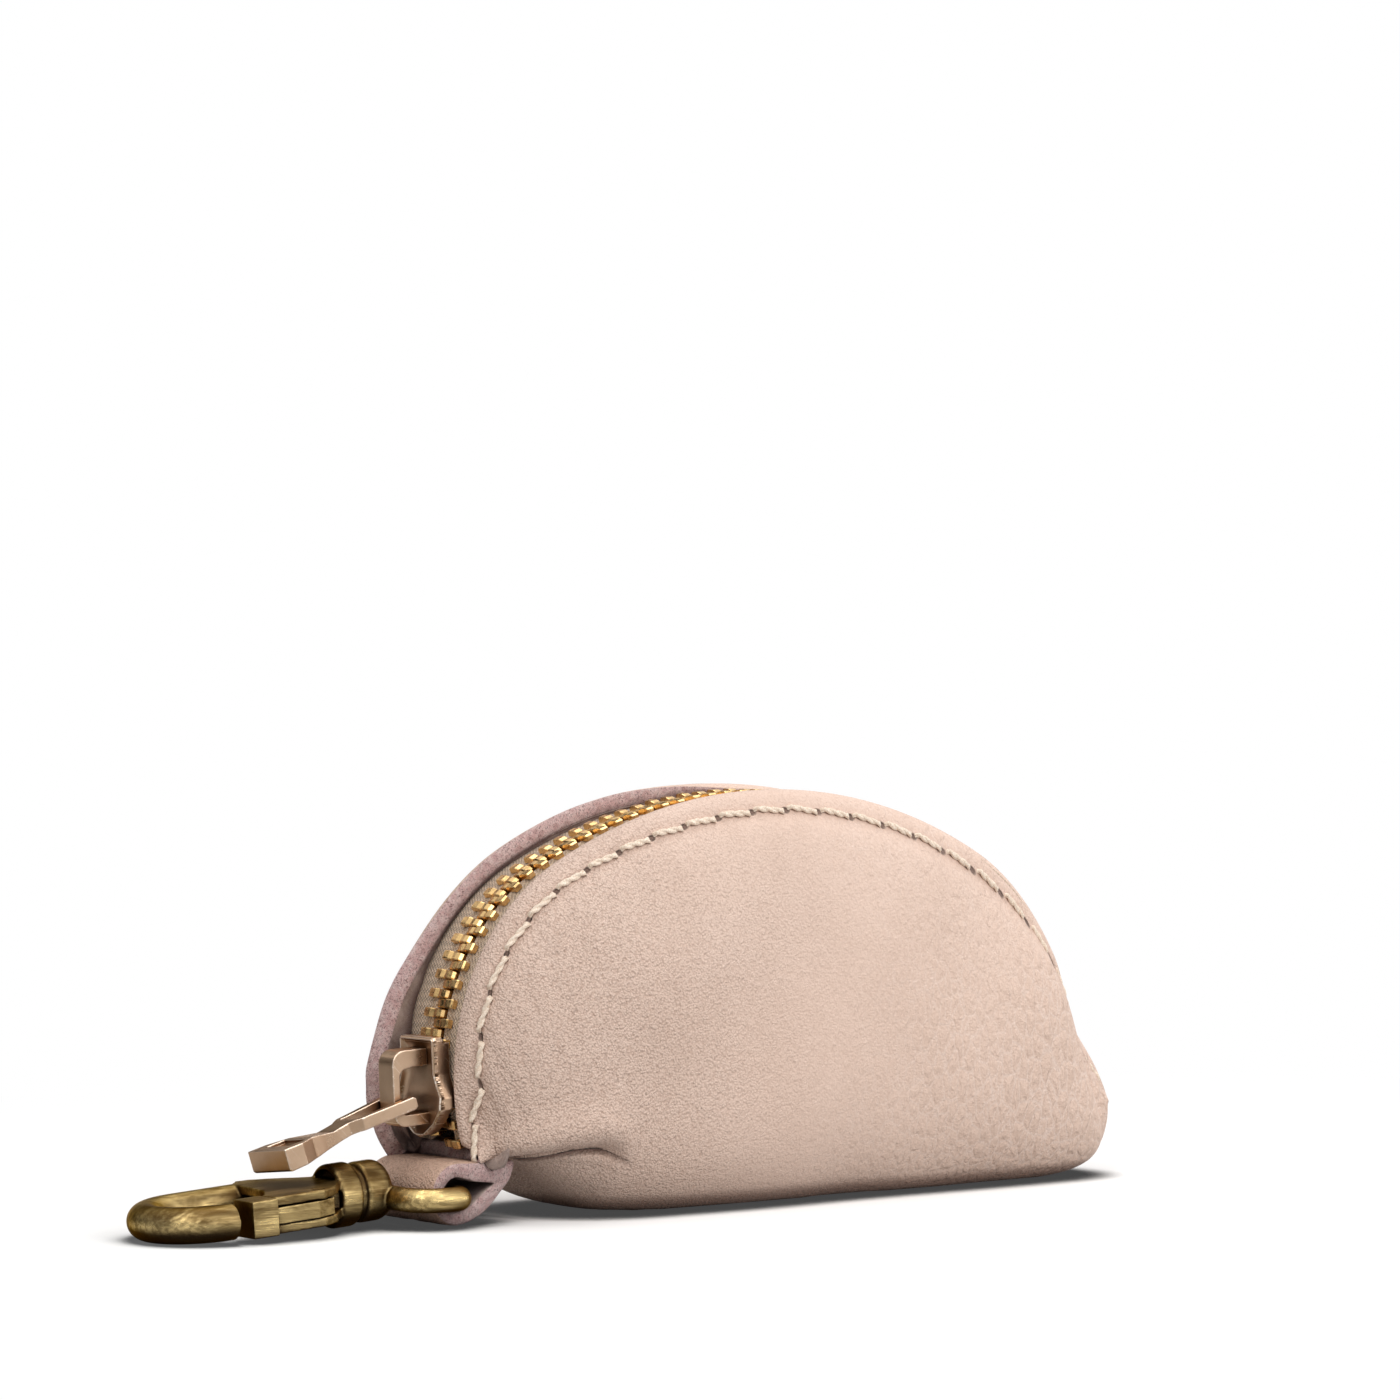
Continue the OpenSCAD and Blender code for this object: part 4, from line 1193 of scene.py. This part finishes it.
# the close tone is a painted contact shadow
FLOOR_SHADE, FLOOR_PAINTED_SHADOW, FLOOR_PALE = (0.5,) * 3, (0.006,) * 3, (0.985,) * 3
AIM = (0, 0, 0.02)
LAMPS = (
    # name, place, aim, size, power and, where it isn't white, colour
    ("key", (-0.55, -0.35, 0.75), AIM, (0.5, 0.5), 3.2, (1, 0.99, 0.97)),
    ("front", (0.15, -0.95, 0.45), AIM, (0.7, 0.5), 3.8),
    ("top", (0.1, 0.15, 0.9), (0, 0, 0), (0.6, 0.6), 3.0),
    ("right", (0.8, -0.25, 0.4), AIM, (0.4, 0.5), 1.9),
)
CARDS = (
    # name, place, aim, size
    ("card_left", (-0.45, 0.02, 0.12), AIM, (0.26, 0.3)),
    ("card_front", (-0.12, -0.6, 0.0), (0, 0, 0.0), (0.5, 0.2)),
    ("card_behind", (-0.36, 0.4, 0.16), (-0.05, 0, 0.02), (0.34, 0.3)),
    ("card_slider", (-0.098, 0.074, 0.012), (-0.05, 0, 0.018), (0.026, 0.03)),
    ("card_back", (0.1, 0.5, 0.25), AIM, (0.5, 0.3)),
)
CAMERA_AT, CAMERA_WAY, CAMERA_LENS = (-0.3769, -0.4901, 0.0643), (0.6018, 0.7986, 0), 122.66


def rectangle(name, half_x, half_y, turn=Matrix.Identity(3), at=(0, 0, 0)):
    me = bpy.data.meshes.new(name)
    corners = [Vector((x * half_x, y * half_y, 0)) for x, y in ((-1, -1), (1, -1), (1, 1), (-1, 1))]
    me.from_pydata([tuple(Vector(at) + turn @ c) for c in corners], [], [(0, 1, 2, 3)])
    return link(name, me)


def facing(at, aim):
    return (Vector(aim) - Vector(at)).to_track_quat("-Z", "Y")


def make_floor():
    """Pale ground: lit near the part, with a painted contact shadow where it touches, and plain
    white further out.
    """
    ob = rectangle("floor", FLOOR_HALF, FLOOR_HALF)
    m = bpy.data.materials.new("pale_floor")
    n = empty_tree(m)
    seen = n.add("ShaderNodeLightPath").outputs["Is Camera Ray"]
    at = n.add("ShaderNodeTexCoord").outputs["Object"]
    away = n.add("ShaderNodeVectorMath", operation="LENGTH")
    n.wire(away, n.stretch(at, (0.8, 1.0, 1.0)))
    far = n.band(away.outputs["Value"], 0.05, 0.19, 0.06, 1.0)
    # painted contact shadow, darkest where the part is nearest
    tone = n.mix(n.band(n.openness(0.0065), 0.45, 0.93), FLOOR_PAINTED_SHADOW, FLOOR_PALE)
    plain = n.add("ShaderNodeBsdfDiffuse", Color=n.mix(seen, FLOOR_SHADE, tone)).outputs[0]
    glow = n.add("ShaderNodeEmission", Color=(1, 1, 1), Strength=1.0).outputs[0]
    both = n.wire(n.add("ShaderNodeMixShader"), n.times(seen, far), plain, glow)
    n.add("ShaderNodeOutputMaterial", Surface=both)
    ob.data.materials.append(m)


def make_world():
    """White to the camera and in the metal, and dimmer as light."""
    world = bpy.data.worlds.new("studio")
    n = empty_tree(world)
    path = n.add("ShaderNodeLightPath").outputs
    seen = n.math("MAXIMUM", path["Is Camera Ray"],
                  n.math("MAXIMUM", path["Is Glossy Ray"], path["Is Transmission Ray"]))
    dim, white = [n.add("ShaderNodeBackground", Color=colour, Strength=strength).outputs[0]
                  for colour, strength in (((1.0, 0.985, 0.97), 0.42), ((1, 1, 1), 1.0))]
    both = n.wire(n.add("ShaderNodeMixShader"), seen, dim, white)
    n.add("ShaderNodeOutputWorld", Surface=both)
    scene.world = world


def lamp(name, at, aim, size, power, colour=(1, 1, 1)):
    data = bpy.data.lights.new(name, "AREA")
    data.shape, data.size, data.size_y = "RECTANGLE", size[0], size[1]
    data.energy, data.color = power, colour
    ob = link(name, data)
    ob.location = at
    ob.rotation_euler = facing(at, aim).to_euler()


def card(name, at, aim, size):
    """A dark card that only reflections see, so that metal has something to show."""
    ob = rectangle(name, size[0] / 2, size[1] / 2, facing(at, aim).to_matrix(), at)
    m = bpy.data.materials.new(name)
    m.use_nodes = True
    Nodes(m.node_tree).fill(m.node_tree.nodes["Principled BSDF"],
                            Base_Color=(0.01, 0.01, 0.01), Roughness=1)
    ob.data.materials.append(m)
    ob.visible_camera = ob.visible_diffuse = ob.visible_shadow = False
    ob.visible_transmission = ob.visible_volume_scatter = False


make_floor()
make_world()
for values in LAMPS:
    lamp(*values)
for values in CARDS:
    card(*values)

cam_data = bpy.data.cameras.new("camera")
cam_data.lens, cam_data.sensor_width = CAMERA_LENS, 36.0
cam_data.clip_start, cam_data.clip_end = 0.02, 20.0
camera = link("camera", cam_data)
camera.location = CAMERA_AT
camera.rotation_euler = Vector(CAMERA_WAY).to_track_quat("-Z", "Y").to_euler()
scene.camera = camera
scene.view_settings.view_transform = "Standard"
